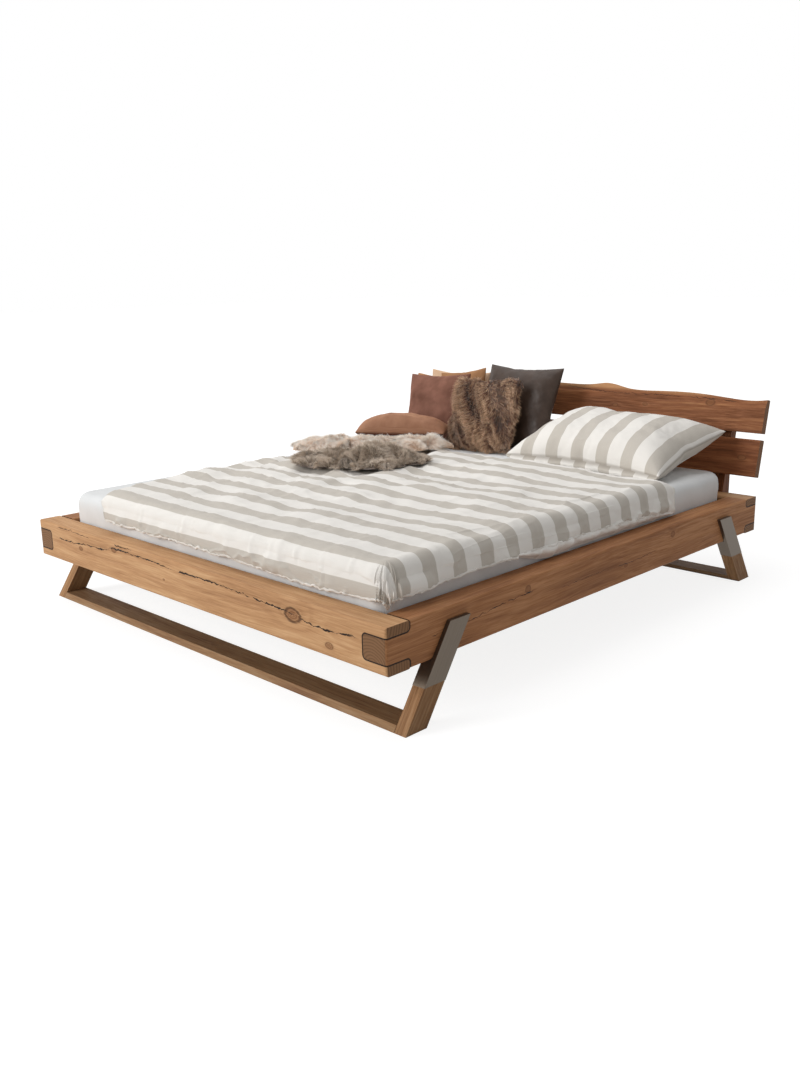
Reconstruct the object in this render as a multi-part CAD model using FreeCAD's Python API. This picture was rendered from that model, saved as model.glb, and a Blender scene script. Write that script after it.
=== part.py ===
import FreeCAD, Part
import math
import os

V = FreeCAD.Vector

# Mattress and the hollow that it lies in
mattress_width = 1800.0
mattress_length = 2000.0
mattress_height = 180.0
mattress_edge_radius = 38.0
mattress_corner_radius = 70.0
side_clearance = 5.0
end_clearance = 10.0
sheet_thickness = 2.0

# Solid beams of the frame and their milled corner fingers
beam_thickness = 95.0
beam_height = 145.0
beam_underside = 195.0
beam_edge_radius = 9.0
finger_height = 33.0
finger_corner_radius = 14.0
joint_gap = 0.8

# Sled legs: leaning pieces, steel shoes and the plank on the floor
leg_width = 90.0
leg_thickness = 48.0
leg_stand_out = 14.0
leg_setback = 55.0
leg_slope_share = 0.65
seam_height = 124.0
tongue_top = 300.0
bar_thickness = 20.0
shoe_wall = 4.0
tenon_length = 52.0
tenon_clearance = 0.3
leg_edge_radius = 2.5
dowel_radius = 4.0
dowel_reach = 22.0
dowel_spacing = 46.0
dowel_clearance = 0.05

# Headboard on two posts
headboard_overhang = 0.0
board_thickness = 35.0
board_edge_radius = 4.0
headboard_lean_share = 0.2
lower_board_rise = 84.0
lower_board_height = 157.0
board_gap = 27.0
upper_board_crest = 168.0
wane_drop = 38.0
wane_depth = 11.0
wave_x_shares = (-1.0, -0.85, -0.6, -0.3, 0.035, 0.15, 0.222, 0.3, 0.505, 0.703, 0.805, 0.878, 1.0)
wave_height_shares = (0.91, 0.83, 0.86, 0.93, 0.915, 0.95, 1.0, 0.92, 0.885, 0.885, 0.84, 0.805, 0.84)
post_width = 80.0
post_depth = 46.0
post_inset = 190.0
post_lap = 13.0
post_foot_rise = 12.0
post_top_drop = 70.0

# Bed base: ledgers, centre rail and two slatted units
ledger_width = 30.0
ledger_height = 30.0
ledger_end_gap = 40.0
centre_rail_width = 60.0
centre_rail_wall = 2.5
bracket_thickness = 3.0
bracket_depth = 45.0
bracket_flange = 30.0
bracket_clearance = 0.3
unit_gap = 6.0
unit_side_clearance = 3.0
unit_end_clearance = 8.0
base_rail_width = 30.0
base_rail_height = 34.0
slats_per_unit = 14
slat_width = 53.0
slat_thickness = 8.0
slat_top_clearance = 0.0
slat_bow = 15.0
holder_depth = 28.0
holder_wall = 3.5
slat_slot_clearance = 0.3
slat_slot_rise = 2.4
slat_side_clearance = 0.4

# Bolts and screws
bolt_radius = 5.0
bolt_clearance = 0.25
bolt_head_radius = 8.5
bolt_head_height = 6.4
counterbore_radius = 12.0
counterbore_depth = 12.0
nut_height = 8.0
shoe_bolt_bite = 9.0
shoe_bolt_spacing = 45.0
corner_bolt_top_cover = 10.0
post_bolt_spacing = 75.0
screw_radius = 2.5
screw_head_radius = 5.0
screw_head_height = 3.0
screw_hole_clearance = 0.05
ledger_screw_count = 6
ledger_screw_length = 60.0
bracket_screw_length = 40.0
board_screw_bite = 24.0
board_screw_inset = 34.0
leg_screw_length = 32.0

# Duvet: plan, puffed top and hanging edges
soft_clearance = 0.4
duvet_loft = 34.0
duvet_channel_crown = 9.0
duvet_channels = 6
duvet_side_drop_thickness = 24.0
duvet_foot_drop_thickness = 22.0
duvet_shoulder_radius = 34.0
duvet_fold_depth = 7.0
duvet_right_folds = 9
duvet_foot_folds = 7
duvet_hem_floor_gap = 4.0
duvet_head_setback = 435.0
duvet_left_x_shares = (-0.66, -0.80, -0.92, -0.80, -0.46)
duvet_left_v_shares = (0.0, 0.13, 0.36, 0.72, 1.0)
right_hem_lift = 76.0
right_hem_peak_share = 0.45
foot_hem_lift = 34.0
foot_hem_peak_share = 0.35

# Striped pillow
pillow_width = 800.0
pillow_depth = 480.0
pillow_thickness = 225.0
pillow_pull = 30.0
pillow_tilt_deg = 15.0
pillow_yaw_deg = -4.0
pillow_place = (454.0, 168.0, 100.0)

# Scatter cushions: width, height, thickness, lean, yaw, roll in degrees and place of the middle
# The place is across from the bed's middle line, down from the mattress's head end, and up from its top
rose_size = (385.0, 330.0, 112.0)
rose_pose_deg = (15.0, 0.0, 2.0)
rose_place = (-650.0, 94.0, 160.0)
taupe_size = (420.0, 405.0, 130.0)
taupe_pose_deg = (20.0, 0.0, 0.0)
taupe_place = (-153.0, 50.0, 184.0)
fur_size = (390.0, 355.0, 105.0)
fur_pose_deg = (22.0, 0.0, 3.0)
fur_place = (-245.0, 200.0, 168.0)
beige_size = (400.0, 452.0, 50.0)
beige_pose_deg = (11.3, 0.0, 0.0)
beige_place = (-660.0, -70.0, 112.0)
gold_size = (300.0, 350.0, 66.0)
gold_pose_deg = (11.3, 0.0, 8.0)
gold_place = (-565.0, -18.0, 174.0)
copper_size = (430.0, 190.0, 165.0)
copper_pose_deg = (90.0, 31.0, 0.0)
copper_place = (-618.0, 380.0, 82.0)
cushion_pull = 16.0

# Fur throws: half length, half width, height, turn in degrees, and place across and down from the head end
beige_throw_size = (420.0, 165.0, 62.0)
beige_throw_turn_deg = 42.0
beige_throw_place = (-538.0, 674.0)
brown_throw_size = (330.0, 190.0, 74.0)
brown_throw_turn_deg = 43.0
brown_throw_place = (-285.0, 980.0)
throw_rest_gap = 0.4

# Shares that shape the crowned cushions and the lobed throws
ring_scale_shares = (1.0, 0.93, 0.74, 0.40)
ring_height_shares = (0.0, 0.50, 0.84, 1.0)
ring_bow_shares = (-1.0, -0.35, 0.9, 1.2)
cushion_steps = 7
lobe_radius_shares = (1.0, 0.86, 0.97, 0.83, 1.0, 0.88, 0.95, 0.80, 0.98, 0.87)
lobe_ring_shares = (0.94, 1.0, 0.86, 0.46)
lobe_ring_height_shares = (0.0, 0.30, 0.74, 1.0)
lobe_bulge_share = 1.12
lobe_steps = 4

# One overrun serves every cut
overrun = 5.0

# Sizes worked out from the ones above
inner_width = mattress_width + 2 * side_clearance
outer_width = inner_width + 2 * beam_thickness
inner_length = mattress_length + 2 * end_clearance
outer_length = inner_length + 2 * beam_thickness
beam_top = beam_underside + beam_height
half_inner = inner_width / 2
half_outer = outer_width / 2
ledger_top = beam_underside + ledger_height
base_top = ledger_top + base_rail_height
lean_cosine = 1 / math.sqrt(1 + headboard_lean_share ** 2)
lean_deg = math.degrees(math.atan(headboard_lean_share))
board_stack_height = lower_board_height + board_gap + upper_board_crest
lower_board_bottom = beam_top + lower_board_rise
stack_top = lower_board_bottom + board_stack_height * lean_cosine
board_rear_reach = headboard_lean_share * (stack_top - beam_top) - post_lap
post_rear_reach = board_rear_reach - headboard_lean_share * post_top_drop + post_depth
total_depth = outer_length + max(board_rear_reach, post_rear_reach)
foot_y = -total_depth / 2
head_y = foot_y + outer_length
middle_y = foot_y + outer_length / 2
mattress_head_y = middle_y + mattress_length / 2
mattress_bottom = base_top + slat_top_clearance + slat_bow - (slat_thickness / 2)
mattress_top = mattress_bottom + mattress_height
leg_outer_x = half_outer + leg_stand_out
leg_inner_x = leg_outer_x - leg_thickness


def box(low_x, high_x, low_y, high_y, low_z, high_z):
    """A block between two corners."""
    size = (high_x - low_x, high_y - low_y, high_z - low_z)
    return Part.makeBox(size[0], size[1], size[2], V(low_x, low_y, low_z))


def prism(points, way):
    """A straight-sided outline pushed along a vector."""
    wire = Part.makePolygon(points + [points[0]])
    return Part.Face(wire).extrude(way)


def rounded_rectangle(low_a, high_a, low_b, high_b, radius, place):
    """A rectangle with round corners, drawn with place(a, b) giving each point."""
    turn = radius * (1 - math.sqrt(0.5))
    corners = [(low_a, low_b, 1, 1), (high_a, low_b, -1, 1), (high_a, high_b, -1, -1), (low_a, high_b, 1, -1)]
    stops = []
    for a, b, sign_a, sign_b in corners:
        along_a = (a + sign_a * radius, b)
        along_b = (a, b + sign_b * radius)
        middle = (a + sign_a * turn, b + sign_b * turn)
        first, last = (along_b, along_a) if sign_a == sign_b else (along_a, along_b)
        stops.append((first, middle, last))
    edges = []
    for index, (first, middle, last) in enumerate(stops):
        edges.append(Part.Arc(place(*first), place(*middle), place(*last)).toShape())
        following = stops[(index + 1) % len(stops)][0]
        edges.append(Part.LineSegment(place(*last), place(*following)).toShape())
    return Part.Wire(edges)


def mirrored(shape):
    """The same piece on the bed's other long side."""
    return shape.mirror(V(0, 0, 0), V(1, 0, 0))


def end_mirrored(shape):
    """The same piece at the bed's other end."""
    return shape.mirror(V(0, middle_y, 0), V(0, 1, 0))


def four_corners(shape):
    """One piece and its copies at all four corners."""
    pair = [shape, mirrored(shape)]
    return pair + [end_mirrored(one) for one in pair]


def edge_rounder(start, along, toward_a, toward_b, radius):
    """The waste of a rounded outer edge: a square strip less its quarter round."""
    corner = start + toward_a * radius + toward_b * radius
    blade = prism([start, start + toward_a * radius, corner, start + toward_b * radius], along)
    length = along.Length
    return blade.cut(Part.makeCylinder(radius, length, corner, along))


def bolt(head_point, way, shank_length):
    """A cap bolt whose head's underside is at head_point and whose shank points along way."""
    direction = V(way).normalize()
    shank = Part.makeCylinder(bolt_radius, shank_length, head_point, direction)
    back = head_point - direction * bolt_head_height
    head = Part.makeCylinder(bolt_head_radius, bolt_head_height, back, direction)
    return head.fuse(shank)


def bolt_hole(head_point, way, length):
    """A clearance bore with the counterbore that sinks the bolt's head."""
    direction = V(way).normalize()
    bore = Part.makeCylinder(bolt_radius + bolt_clearance, length, head_point, direction)
    back = head_point - direction * (counterbore_depth + overrun)
    sink = Part.makeCylinder(counterbore_radius, counterbore_depth + overrun, back, direction)
    return bore.fuse(sink)


def screw(head_point, way, length, grow=0.0):
    """A countersunk screw, its head's flat at head_point; grow turns it into its own hole."""
    direction = V(way).normalize()
    wide = screw_head_radius + grow
    narrow = screw_radius + grow
    head = Part.makeCone(wide, narrow, screw_head_height, head_point, direction)
    shank = Part.makeCylinder(narrow, length + grow, head_point, direction)
    return head.fuse(shank)


def plan_outline():
    """The frame's outline seen from above, rounded at its four corners."""
    return Part.Face(rounded_rectangle(-half_outer, half_outer, foot_y, head_y, beam_edge_radius,
                                       lambda a, b: V(a, b, beam_underside))).extrude(V(0, 0, beam_height))


def corner_bolt_point():
    """The underside of the corner bolt's head at the foot end, right side."""
    middle = half_outer - beam_thickness / 2
    return V(middle, foot_y + beam_thickness / 2, beam_underside + counterbore_depth)


def corner_bolt_length():
    """From the counterbore's floor to its cover in the top finger."""
    return beam_height - counterbore_depth - corner_bolt_top_cover


def finger_slot():
    """The round-cornered slot that the milled end of a foot beam keeps for the side beam's finger."""
    low = beam_underside + finger_height
    high = beam_top - finger_height
    past = half_outer + 2 * finger_corner_radius
    wire = rounded_rectangle(half_inner, past, low, high, finger_corner_radius,
                             lambda a, b: V(a, foot_y - overrun, b))
    return Part.Face(wire).extrude(V(0, beam_thickness + 2 * overrun, 0))


def finger_edge_waste(start_x, length):
    """Rounds the inner edges of the foot beam's fingers, so that they seat in the side beam's pockets."""
    inner = foot_y + beam_thickness
    along = V(length, 0, 0)
    low = beam_underside + finger_height + joint_gap
    high = beam_top - finger_height - joint_gap
    top = edge_rounder(V(start_x, inner, high), along, V(0, -1, 0), V(0, 0, 1), finger_corner_radius)
    bottom = edge_rounder(V(start_x, inner, low), along, V(0, -1, 0), V(0, 0, -1), finger_corner_radius)
    return [top, bottom]


def end_beam():
    """The foot beam: a rounded solid beam with a finger slot milled through each end."""
    section = rounded_rectangle(foot_y, foot_y + beam_thickness, beam_underside, beam_top, beam_edge_radius,
                                lambda a, b: V(-half_outer, a, b))
    beam = Part.Face(section).extrude(V(outer_width, 0, 0))
    beam = beam.common(plan_outline())
    slot = finger_slot()
    beam = beam.cut(slot).cut(mirrored(slot))
    for waste in finger_edge_waste(half_inner, beam_thickness + overrun):
        beam = beam.cut(waste).cut(mirrored(waste))
    hole = bolt_hole(corner_bolt_point(), V(0, 0, 1), corner_bolt_length())
    return beam.cut(hole).cut(mirrored(hole))


def side_pocket():
    """The two round-cornered pockets in a side beam's end that take the foot beam's fingers."""
    reach = beam_thickness + joint_gap
    past = 2 * finger_corner_radius
    depth = finger_height + joint_gap
    pockets = []
    for low, high in ((beam_top - depth, beam_top + past), (beam_underside - past, beam_underside + depth)):
        wire = rounded_rectangle(foot_y - past, foot_y + reach, low, high, finger_corner_radius,
                                 lambda a, b: V(half_inner - overrun, a, b))
        pockets.append(Part.Face(wire).extrude(V(beam_thickness + 2 * overrun, 0, 0)))
    return pockets


def side_beam():
    """The right side beam: its middle finger runs through to the foot beam's outer face."""
    section = rounded_rectangle(half_inner, half_outer, beam_underside, beam_top, beam_edge_radius,
                                lambda a, b: V(a, foot_y, b))
    beam = Part.Face(section).extrude(V(0, outer_length, 0))
    beam = beam.common(plan_outline())
    low = beam_underside + finger_height + joint_gap
    high = beam_top - finger_height - joint_gap
    root = half_inner + joint_gap
    along = V(0, beam_thickness + joint_gap, 0)
    waste = side_pocket()
    waste.append(box(half_inner - overrun, root, foot_y, foot_y + beam_thickness + joint_gap, beam_underside,
                     beam_top))
    waste.append(edge_rounder(V(root, foot_y, low), along, V(1, 0, 0), V(0, 0, 1), finger_corner_radius))
    waste.append(edge_rounder(V(root, foot_y, high), along, V(1, 0, 0), V(0, 0, -1), finger_corner_radius))
    waste.append(bolt_hole(corner_bolt_point(), V(0, 0, 1), corner_bolt_length() + overrun))
    for bite in waste:
        beam = beam.cut(bite).cut(end_mirrored(bite))
    for point in shoe_bolt_points():
        hole = bolt_hole(point, V(1, 0, 0), beam_thickness)
        beam = beam.cut(hole).cut(end_mirrored(hole))
    for point in ledger_screw_points():
        beam = beam.cut(screw(point, V(1, 0, 0), ledger_screw_length, screw_hole_clearance))
    return beam


def slope_profile(low, high, front_cut=0.0, rear_cut=0.0):
    """A leaning strip of the front leg, between two heights, seen from the side."""
    front = foot_y + leg_setback + front_cut
    rear = foot_y + leg_setback + leg_width - rear_cut
    lean_low = leg_slope_share * low
    lean_high = leg_slope_share * high
    lower = [(front + lean_low, low), (rear + lean_low, low)]
    return lower + [(rear + lean_high, high), (front + lean_high, high)]


def slope_piece(low_x, high_x, low, high, front_cut=0.0, rear_cut=0.0):
    """A leaning piece of the front leg between two heights and two places across the bed."""
    points = [V(low_x, y, z) for y, z in slope_profile(low, high, front_cut, rear_cut)]
    return prism(points, V(high_x - low_x, 0, 0))


def shoe_bolt_points():
    """Where the heads of the two bolts that hold a shoe's tongue bear in the side beam."""
    middle_z = (beam_underside + tongue_top) / 2
    middle_v = foot_y + leg_setback + leg_width / 2 + leg_slope_share * middle_z
    step = shoe_bolt_spacing / 2
    x = half_inner + counterbore_depth
    return [V(x, middle_v + sign * leg_slope_share * step, middle_z + sign * step) for sign in (-1, 1)]


def shoe_bolt_length():
    """Through the beam and into the tongue."""
    return beam_thickness - counterbore_depth + shoe_bolt_bite


def leg_screw_points():
    """Two screws through the inner wall of the shoe into the leg's tenon."""
    z = seam_height + tenon_length / 2
    middle = foot_y + leg_setback + leg_width / 2 + leg_slope_share * z
    return [V(leg_inner_x, middle + sign * leg_width / 4, z) for sign in (-1, 1)]


def dowel_points():
    """The middle of each dowel between the floor plank and the leg."""
    z = bar_thickness / 2
    middle = foot_y + leg_setback + leg_width / 2 + leg_slope_share * z
    return [V(leg_inner_x, middle + sign * dowel_spacing / 2, z) for sign in (-1, 1)]


def dowels(grow=0.0):
    """The two dowels at the foot's right side, or their holes when grown."""
    reach = dowel_reach + grow
    return [Part.makeCylinder(dowel_radius + grow, 2 * reach, point - V(reach, 0, 0), V(1, 0, 0))
            for point in dowel_points()]


def wooden_leg():
    """The leaning wooden foot of the front right leg, with the tenon that fills its shoe."""
    foot = slope_piece(leg_inner_x, leg_outer_x, 0, seam_height)
    foot = foot.makeFillet(leg_edge_radius, [e for e in foot.Edges if is_long_leg_edge(e)])
    skin = shoe_wall + tenon_clearance
    tenon_top = seam_height + tenon_length
    tenon = slope_piece(leg_inner_x + skin, leg_outer_x - skin, seam_height, tenon_top, skin, skin)
    leg = foot.fuse(tenon)
    for hole in dowels(dowel_clearance):
        leg = leg.cut(hole)
    for point in leg_screw_points():
        leg = leg.cut(screw(point, V(1, 0, 0), leg_screw_length, screw_hole_clearance))
    return leg


def is_long_leg_edge(edge):
    """True for the leaning edges of a leg, which run from the floor to the seam."""
    low, high = edge.BoundBox.ZMin, edge.BoundBox.ZMax
    return high - low > seam_height / 2


def steel_shoe():
    """The notched steel shoe: a box on the leg, a seat under the beam and a tongue up its face."""
    lower = slope_piece(leg_inner_x, leg_outer_x, seam_height, beam_underside)
    tongue = slope_piece(half_outer, leg_outer_x, beam_underside, tongue_top)
    shoe = lower.fuse(tongue).removeSplitter()
    hollow = slope_piece(leg_inner_x + shoe_wall, leg_outer_x - shoe_wall, seam_height - overrun,
                         beam_underside - shoe_wall, shoe_wall, shoe_wall)
    shoe = shoe.cut(hollow)
    for point in shoe_bolt_points():
        reach = shoe_bolt_length() + screw_hole_clearance
        shoe = shoe.cut(Part.makeCylinder(bolt_radius + screw_hole_clearance, reach, point, V(1, 0, 0)))
    for point in leg_screw_points():
        shoe = shoe.cut(screw(point, V(1, 0, 0), leg_screw_length, screw_hole_clearance))
    return shoe


def floor_bar():
    """The plank on the floor between the two front legs."""
    bar = slope_piece(-leg_inner_x, leg_inner_x, 0, bar_thickness)
    for hole in dowels(dowel_clearance):
        bar = bar.cut(hole).cut(mirrored(hole))
    return bar


def ledger_screw_points():
    """The heads of the screws along the right ledger."""
    first = foot_y + beam_thickness + 2 * ledger_end_gap
    last = head_y - beam_thickness - 2 * ledger_end_gap
    step = (last - first) / (ledger_screw_count - 1)
    x = half_inner - ledger_width
    z = beam_underside + ledger_height / 2
    return [V(x, first + index * step, z) for index in range(ledger_screw_count)]


def ledger():
    """The strip that carries the slatted unit along the right side beam."""
    inset = beam_thickness + ledger_end_gap
    low_x = half_inner - ledger_width
    strip = box(low_x, half_inner, foot_y + inset, head_y - inset, beam_underside, ledger_top)
    for point in ledger_screw_points():
        strip = strip.cut(screw(point, V(1, 0, 0), ledger_screw_length, screw_hole_clearance))
    return strip


def centre_rail():
    """The steel tube down the middle that carries both slatted units."""
    half = centre_rail_width / 2
    low = beam_underside + bracket_thickness
    start = foot_y + beam_thickness + bracket_thickness + bracket_clearance
    finish = head_y - beam_thickness - bracket_thickness - bracket_clearance
    tube = box(-half, half, start, finish, low, ledger_top)
    bore = box(-half + centre_rail_wall, half - centre_rail_wall, start - overrun, finish + overrun,
               low + centre_rail_wall, ledger_top - centre_rail_wall)
    return tube.cut(bore)


def bracket_screw_points():
    """Two screws in each bracket's flanges."""
    x = centre_rail_width / 2 + bracket_clearance + bracket_thickness + bracket_flange / 2
    z = (beam_underside + ledger_top) / 2
    y = foot_y + beam_thickness + bracket_thickness
    return [V(sign * x, y, z) for sign in (-1, 1)]


def rail_bracket():
    """The steel seat that hangs the centre rail on the foot beam."""
    half = centre_rail_width / 2 + bracket_clearance
    wall = half + bracket_thickness
    face = foot_y + beam_thickness
    plate = box(-wall - bracket_flange, wall + bracket_flange, face, face + bracket_thickness, beam_underside,
                ledger_top)
    cradle = box(-wall, wall, face, face + bracket_depth, beam_underside, ledger_top)
    cradle = cradle.cut(box(-half, half, face + bracket_thickness, face + bracket_depth + overrun,
                            beam_underside + bracket_thickness, ledger_top + overrun))
    bracket = plate.fuse(cradle).removeSplitter()
    for point in bracket_screw_points():
        bracket = bracket.cut(screw(point, V(0, -1, 0), bracket_screw_length, screw_hole_clearance))
    return bracket


def unit_sides():
    """The places across the bed of the right slatted unit's two outer faces."""
    return unit_gap / 2, half_inner - unit_side_clearance


def unit_ends():
    """The places along the bed of a slatted unit's two ends."""
    inset = beam_thickness + unit_end_clearance
    return foot_y + inset, head_y - inset


def base_rails():
    """The rails and end pieces of the right slatted unit."""
    low, high = unit_sides()
    start, finish = unit_ends()
    rails = [box(low, low + base_rail_width, start, finish, ledger_top, base_top),
             box(high - base_rail_width, high, start, finish, ledger_top, base_top)]
    left = low + base_rail_width
    right = high - base_rail_width
    top = base_top - base_rail_height / 2
    for near in (start + bracket_depth, finish - bracket_depth - base_rail_width):
        rails.append(box(left, right, near, near + base_rail_width, ledger_top, top))
    return rails


def slat_middles():
    """The middle line of each slat along the bed."""
    start, finish = unit_ends()
    pitch = (finish - start) / slats_per_unit
    return [start + (index + 1 / 2) * pitch for index in range(slats_per_unit)]


def slat_end_height():
    """The middle height of a slat at its ends, which the crown rises from."""
    return mattress_bottom - slat_top_clearance - slat_thickness / 2 - slat_bow


def slat(middle):
    """One bowed slat of the right unit."""
    low, high = unit_sides()
    start = low + base_rail_width + holder_wall
    finish = high - base_rail_width - holder_wall
    half = slat_thickness / 2
    end = slat_end_height()
    y = middle - slat_width / 2
    centre = (start + finish) / 2
    upper = Part.Arc(V(start, y, end + half), V(centre, y, end + slat_bow + half), V(finish, y, end + half))
    lower = Part.Arc(V(finish, y, end - half), V(centre, y, end + slat_bow - half), V(start, y, end - half))
    sides = [Part.LineSegment(V(finish, y, end + half), V(finish, y, end - half)),
             Part.LineSegment(V(start, y, end - half), V(start, y, end + half))]
    wire = Part.Wire([upper.toShape(), sides[0].toShape(), lower.toShape(), sides[1].toShape()])
    return Part.Face(wire).extrude(V(0, slat_width, 0))


def holders(middle):
    """The two caps that hold a slat's ends against the rails of the right unit."""
    low, high = unit_sides()
    half_slot = slat_width / 2 + slat_side_clearance
    half_cap = half_slot + holder_wall
    end = slat_end_height()
    floor = end - slat_thickness / 2 - slat_slot_clearance
    roof = end + slat_thickness / 2 + slat_slot_rise
    pair = []
    for face, way in ((low + base_rail_width, 1), (high - base_rail_width, -1)):
        near, far = sorted((face, face + way * holder_depth))
        cap = box(near, far, middle - half_cap, middle + half_cap, floor - holder_wall, roof + holder_wall)
        near, far = sorted((face + way * holder_wall, face + way * (holder_depth + overrun)))
        slot = box(near, far, middle - half_slot, middle + half_slot, floor, roof)
        pair.append(cap.cut(slot))
    return pair


def board_point(x, up, back):
    """A point of the headboard: across, up its slope from the lower edge, and back from its front face."""
    front = head_y - post_lap + headboard_lean_share * (lower_board_bottom - beam_top) - board_thickness / lean_cosine
    sine = headboard_lean_share * lean_cosine
    y = front + up * sine + back * lean_cosine
    z = lower_board_bottom + up * lean_cosine - back * sine
    return V(x, y, z)


def board_normal():
    """The way from the boards' front to their back."""
    return board_point(0, 0, 1) - board_point(0, 0, 0)


def lower_board():
    """The straight lower board."""
    half = half_outer + headboard_overhang
    section = rounded_rectangle(0, lower_board_height, 0, board_thickness, board_edge_radius,
                                lambda a, b: board_point(-half, a, b))
    board = Part.Face(section).extrude(V(2 * half, 0, 0))
    return drill_board(board, board_screw_points()[:2])


def wavy_outline(drop, back):
    """The upper board's outline at one depth: three straight sides and its natural top edge."""
    half = half_outer + headboard_overhang
    base = lower_board_height + board_gap
    top = [board_point(half * x, base + upper_board_crest * share - drop, back)
           for x, share in zip(wave_x_shares, wave_height_shares)]
    crest = Part.BSplineCurve()
    crest.interpolate(top)
    left = board_point(-half, base, back)
    right = board_point(half, base, back)
    edges = [Part.LineSegment(left, right).toShape(), Part.LineSegment(right, top[-1]).toShape(),
             crest.toShape(), Part.LineSegment(top[0], left).toShape()]
    return Part.Wire(Part.__sortEdges__(edges))


def upper_board():
    """The upper board with its natural edge, whose front falls back above the wane line."""
    waney = Part.makeLoft([wavy_outline(wane_drop, 0), wavy_outline(0, wane_depth)], True, True)
    body = Part.Face(wavy_outline(0, wane_depth)).extrude(board_normal() * (board_thickness - wane_depth))
    return drill_board(waney.fuse(body), board_screw_points()[2:])


def board_screw_points():
    """Where the screws enter the right post's back, two for each board."""
    spots = []
    base = lower_board_height + board_gap
    low = upper_board_crest * min(wave_height_shares) - wane_drop
    for start, height in ((0, lower_board_height), (base, low)):
        for up in (start + board_screw_inset, start + height - board_screw_inset):
            spots.append(board_point(half_outer - post_inset, up, board_thickness + post_depth * lean_cosine))
    return spots


def board_screw_length():
    """Through the post and into the board."""
    return post_depth * lean_cosine + board_screw_bite


def drill_board(board, points):
    """Holes for the screws that hold a board on both posts."""
    for point in points:
        hole = screw(point, board_normal() * -1, board_screw_length(), screw_hole_clearance)
        board = board.cut(hole).cut(mirrored(hole))
    return board


def post_bolt_points():
    """The heads of the two bolts at the back of the right post."""
    middle = (beam_underside + post_foot_rise + beam_top) / 2
    x = half_outer - post_inset
    return [V(x, head_y + post_depth, middle + sign * post_bolt_spacing / 2) for sign in (-1, 1)]


def post_bolt_length():
    """Through the post and the head beam to the end of its nut."""
    return post_depth + beam_thickness - counterbore_depth + nut_height


def post():
    """The right post: bolted behind the head beam, lapped on its top and leaning back above it."""
    foot = beam_underside + post_foot_rise
    top = stack_top - post_top_drop
    front_low = head_y - post_lap
    front_high = front_low + headboard_lean_share * (top - beam_top)
    knee = beam_top + post_lap / headboard_lean_share
    x = half_outer - post_inset - post_width / 2
    outline = [(head_y, foot), (head_y, beam_top), (front_low, beam_top), (front_high, top),
               (front_high + post_depth, top), (head_y + post_depth, knee), (head_y + post_depth, foot)]
    body = prism([V(x, y, z) for y, z in outline], V(post_width, 0, 0))
    for point in post_bolt_points():
        reach = post_bolt_length()
        body = body.cut(Part.makeCylinder(bolt_radius + bolt_clearance, reach, point, V(0, -1, 0)))
    for point in board_screw_points():
        body = body.cut(screw(point, board_normal() * -1, board_screw_length(), screw_hole_clearance))
    return body


def head_beam():
    """The foot beam turned to the head end, bored for the post bolts."""
    beam = end_mirrored(end_beam())
    for point in post_bolt_points():
        start = V(point.x, head_y - beam_thickness + counterbore_depth, point.z)
        hole = bolt_hole(start, V(0, 1, 0), beam_thickness)
        beam = beam.cut(hole).cut(mirrored(hole))
    return drill_brackets(beam, end_mirrored)


def foot_beam():
    """The beam across the foot end."""
    return drill_brackets(end_beam(), None)


def drill_brackets(beam, turn):
    """Holes for the screws of the centre rail's bracket."""
    for point in bracket_screw_points():
        hole = screw(point, V(0, -1, 0), bracket_screw_length, screw_hole_clearance)
        beam = beam.cut(turn(hole) if turn else hole)
    return beam


def nut(point):
    """A round flange nut at the far end of a post bolt, in its counterbore."""
    start = V(point.x, head_y - beam_thickness + counterbore_depth, point.z)
    body = Part.makeCylinder(bolt_head_radius, nut_height, start, V(0, -1, 0))
    return body.cut(Part.makeCylinder(bolt_radius + screw_hole_clearance, nut_height, start, V(0, -1, 0)))


def soft_block(inset, low, high):
    """A block with round corners and edges: the mattress or the skin over it."""
    half_x = mattress_width / 2 - inset
    half_y = mattress_length / 2 - inset
    block = box(-half_x, half_x, middle_y - half_y, middle_y + half_y, low, high)
    upright = [e for e in block.Edges if e.BoundBox.ZLength > inset + mattress_edge_radius]
    block = block.makeFillet(mattress_corner_radius - inset, upright)
    rims = [e for e in block.Edges if e.BoundBox.ZLength < mattress_edge_radius / 2]
    return block.makeFillet(mattress_edge_radius - inset, rims)


def mattress_core():
    """The foam core."""
    return soft_block(sheet_thickness, mattress_bottom, mattress_top - sheet_thickness)


def fitted_sheet():
    """The cotton skin over the core's top and sides, open below."""
    skin = soft_block(0, mattress_bottom - mattress_edge_radius, mattress_top)
    floor = mattress_bottom + mattress_edge_radius
    half_x = mattress_width
    half_y = mattress_length
    below = box(-half_x, half_x, middle_y - half_y, middle_y + half_y, mattress_bottom - mattress_height, floor)
    return skin.cut(mattress_core()).cut(below)


def arc_chain(start, finish, count, base, crown, place):
    """A row of equal shallow arcs, drawn with place(a, b)."""
    step = (finish - start) / count
    edges = []
    for index in range(count):
        first = start + index * step
        edges.append(Part.Arc(place(first, base), place(first + step / 2, base + crown),
                              place(first + step, base)).toShape())
    return edges


def duvet_limits():
    """The duvet's reach: right and foot faces, head edge and top."""
    right = mattress_width / 2 + soft_clearance + duvet_side_drop_thickness
    foot = middle_y - mattress_length / 2 - soft_clearance - duvet_foot_drop_thickness
    head = middle_y + mattress_length / 2 - duvet_head_setback
    top = mattress_top + soft_clearance + duvet_loft
    return right, foot, head, top


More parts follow.
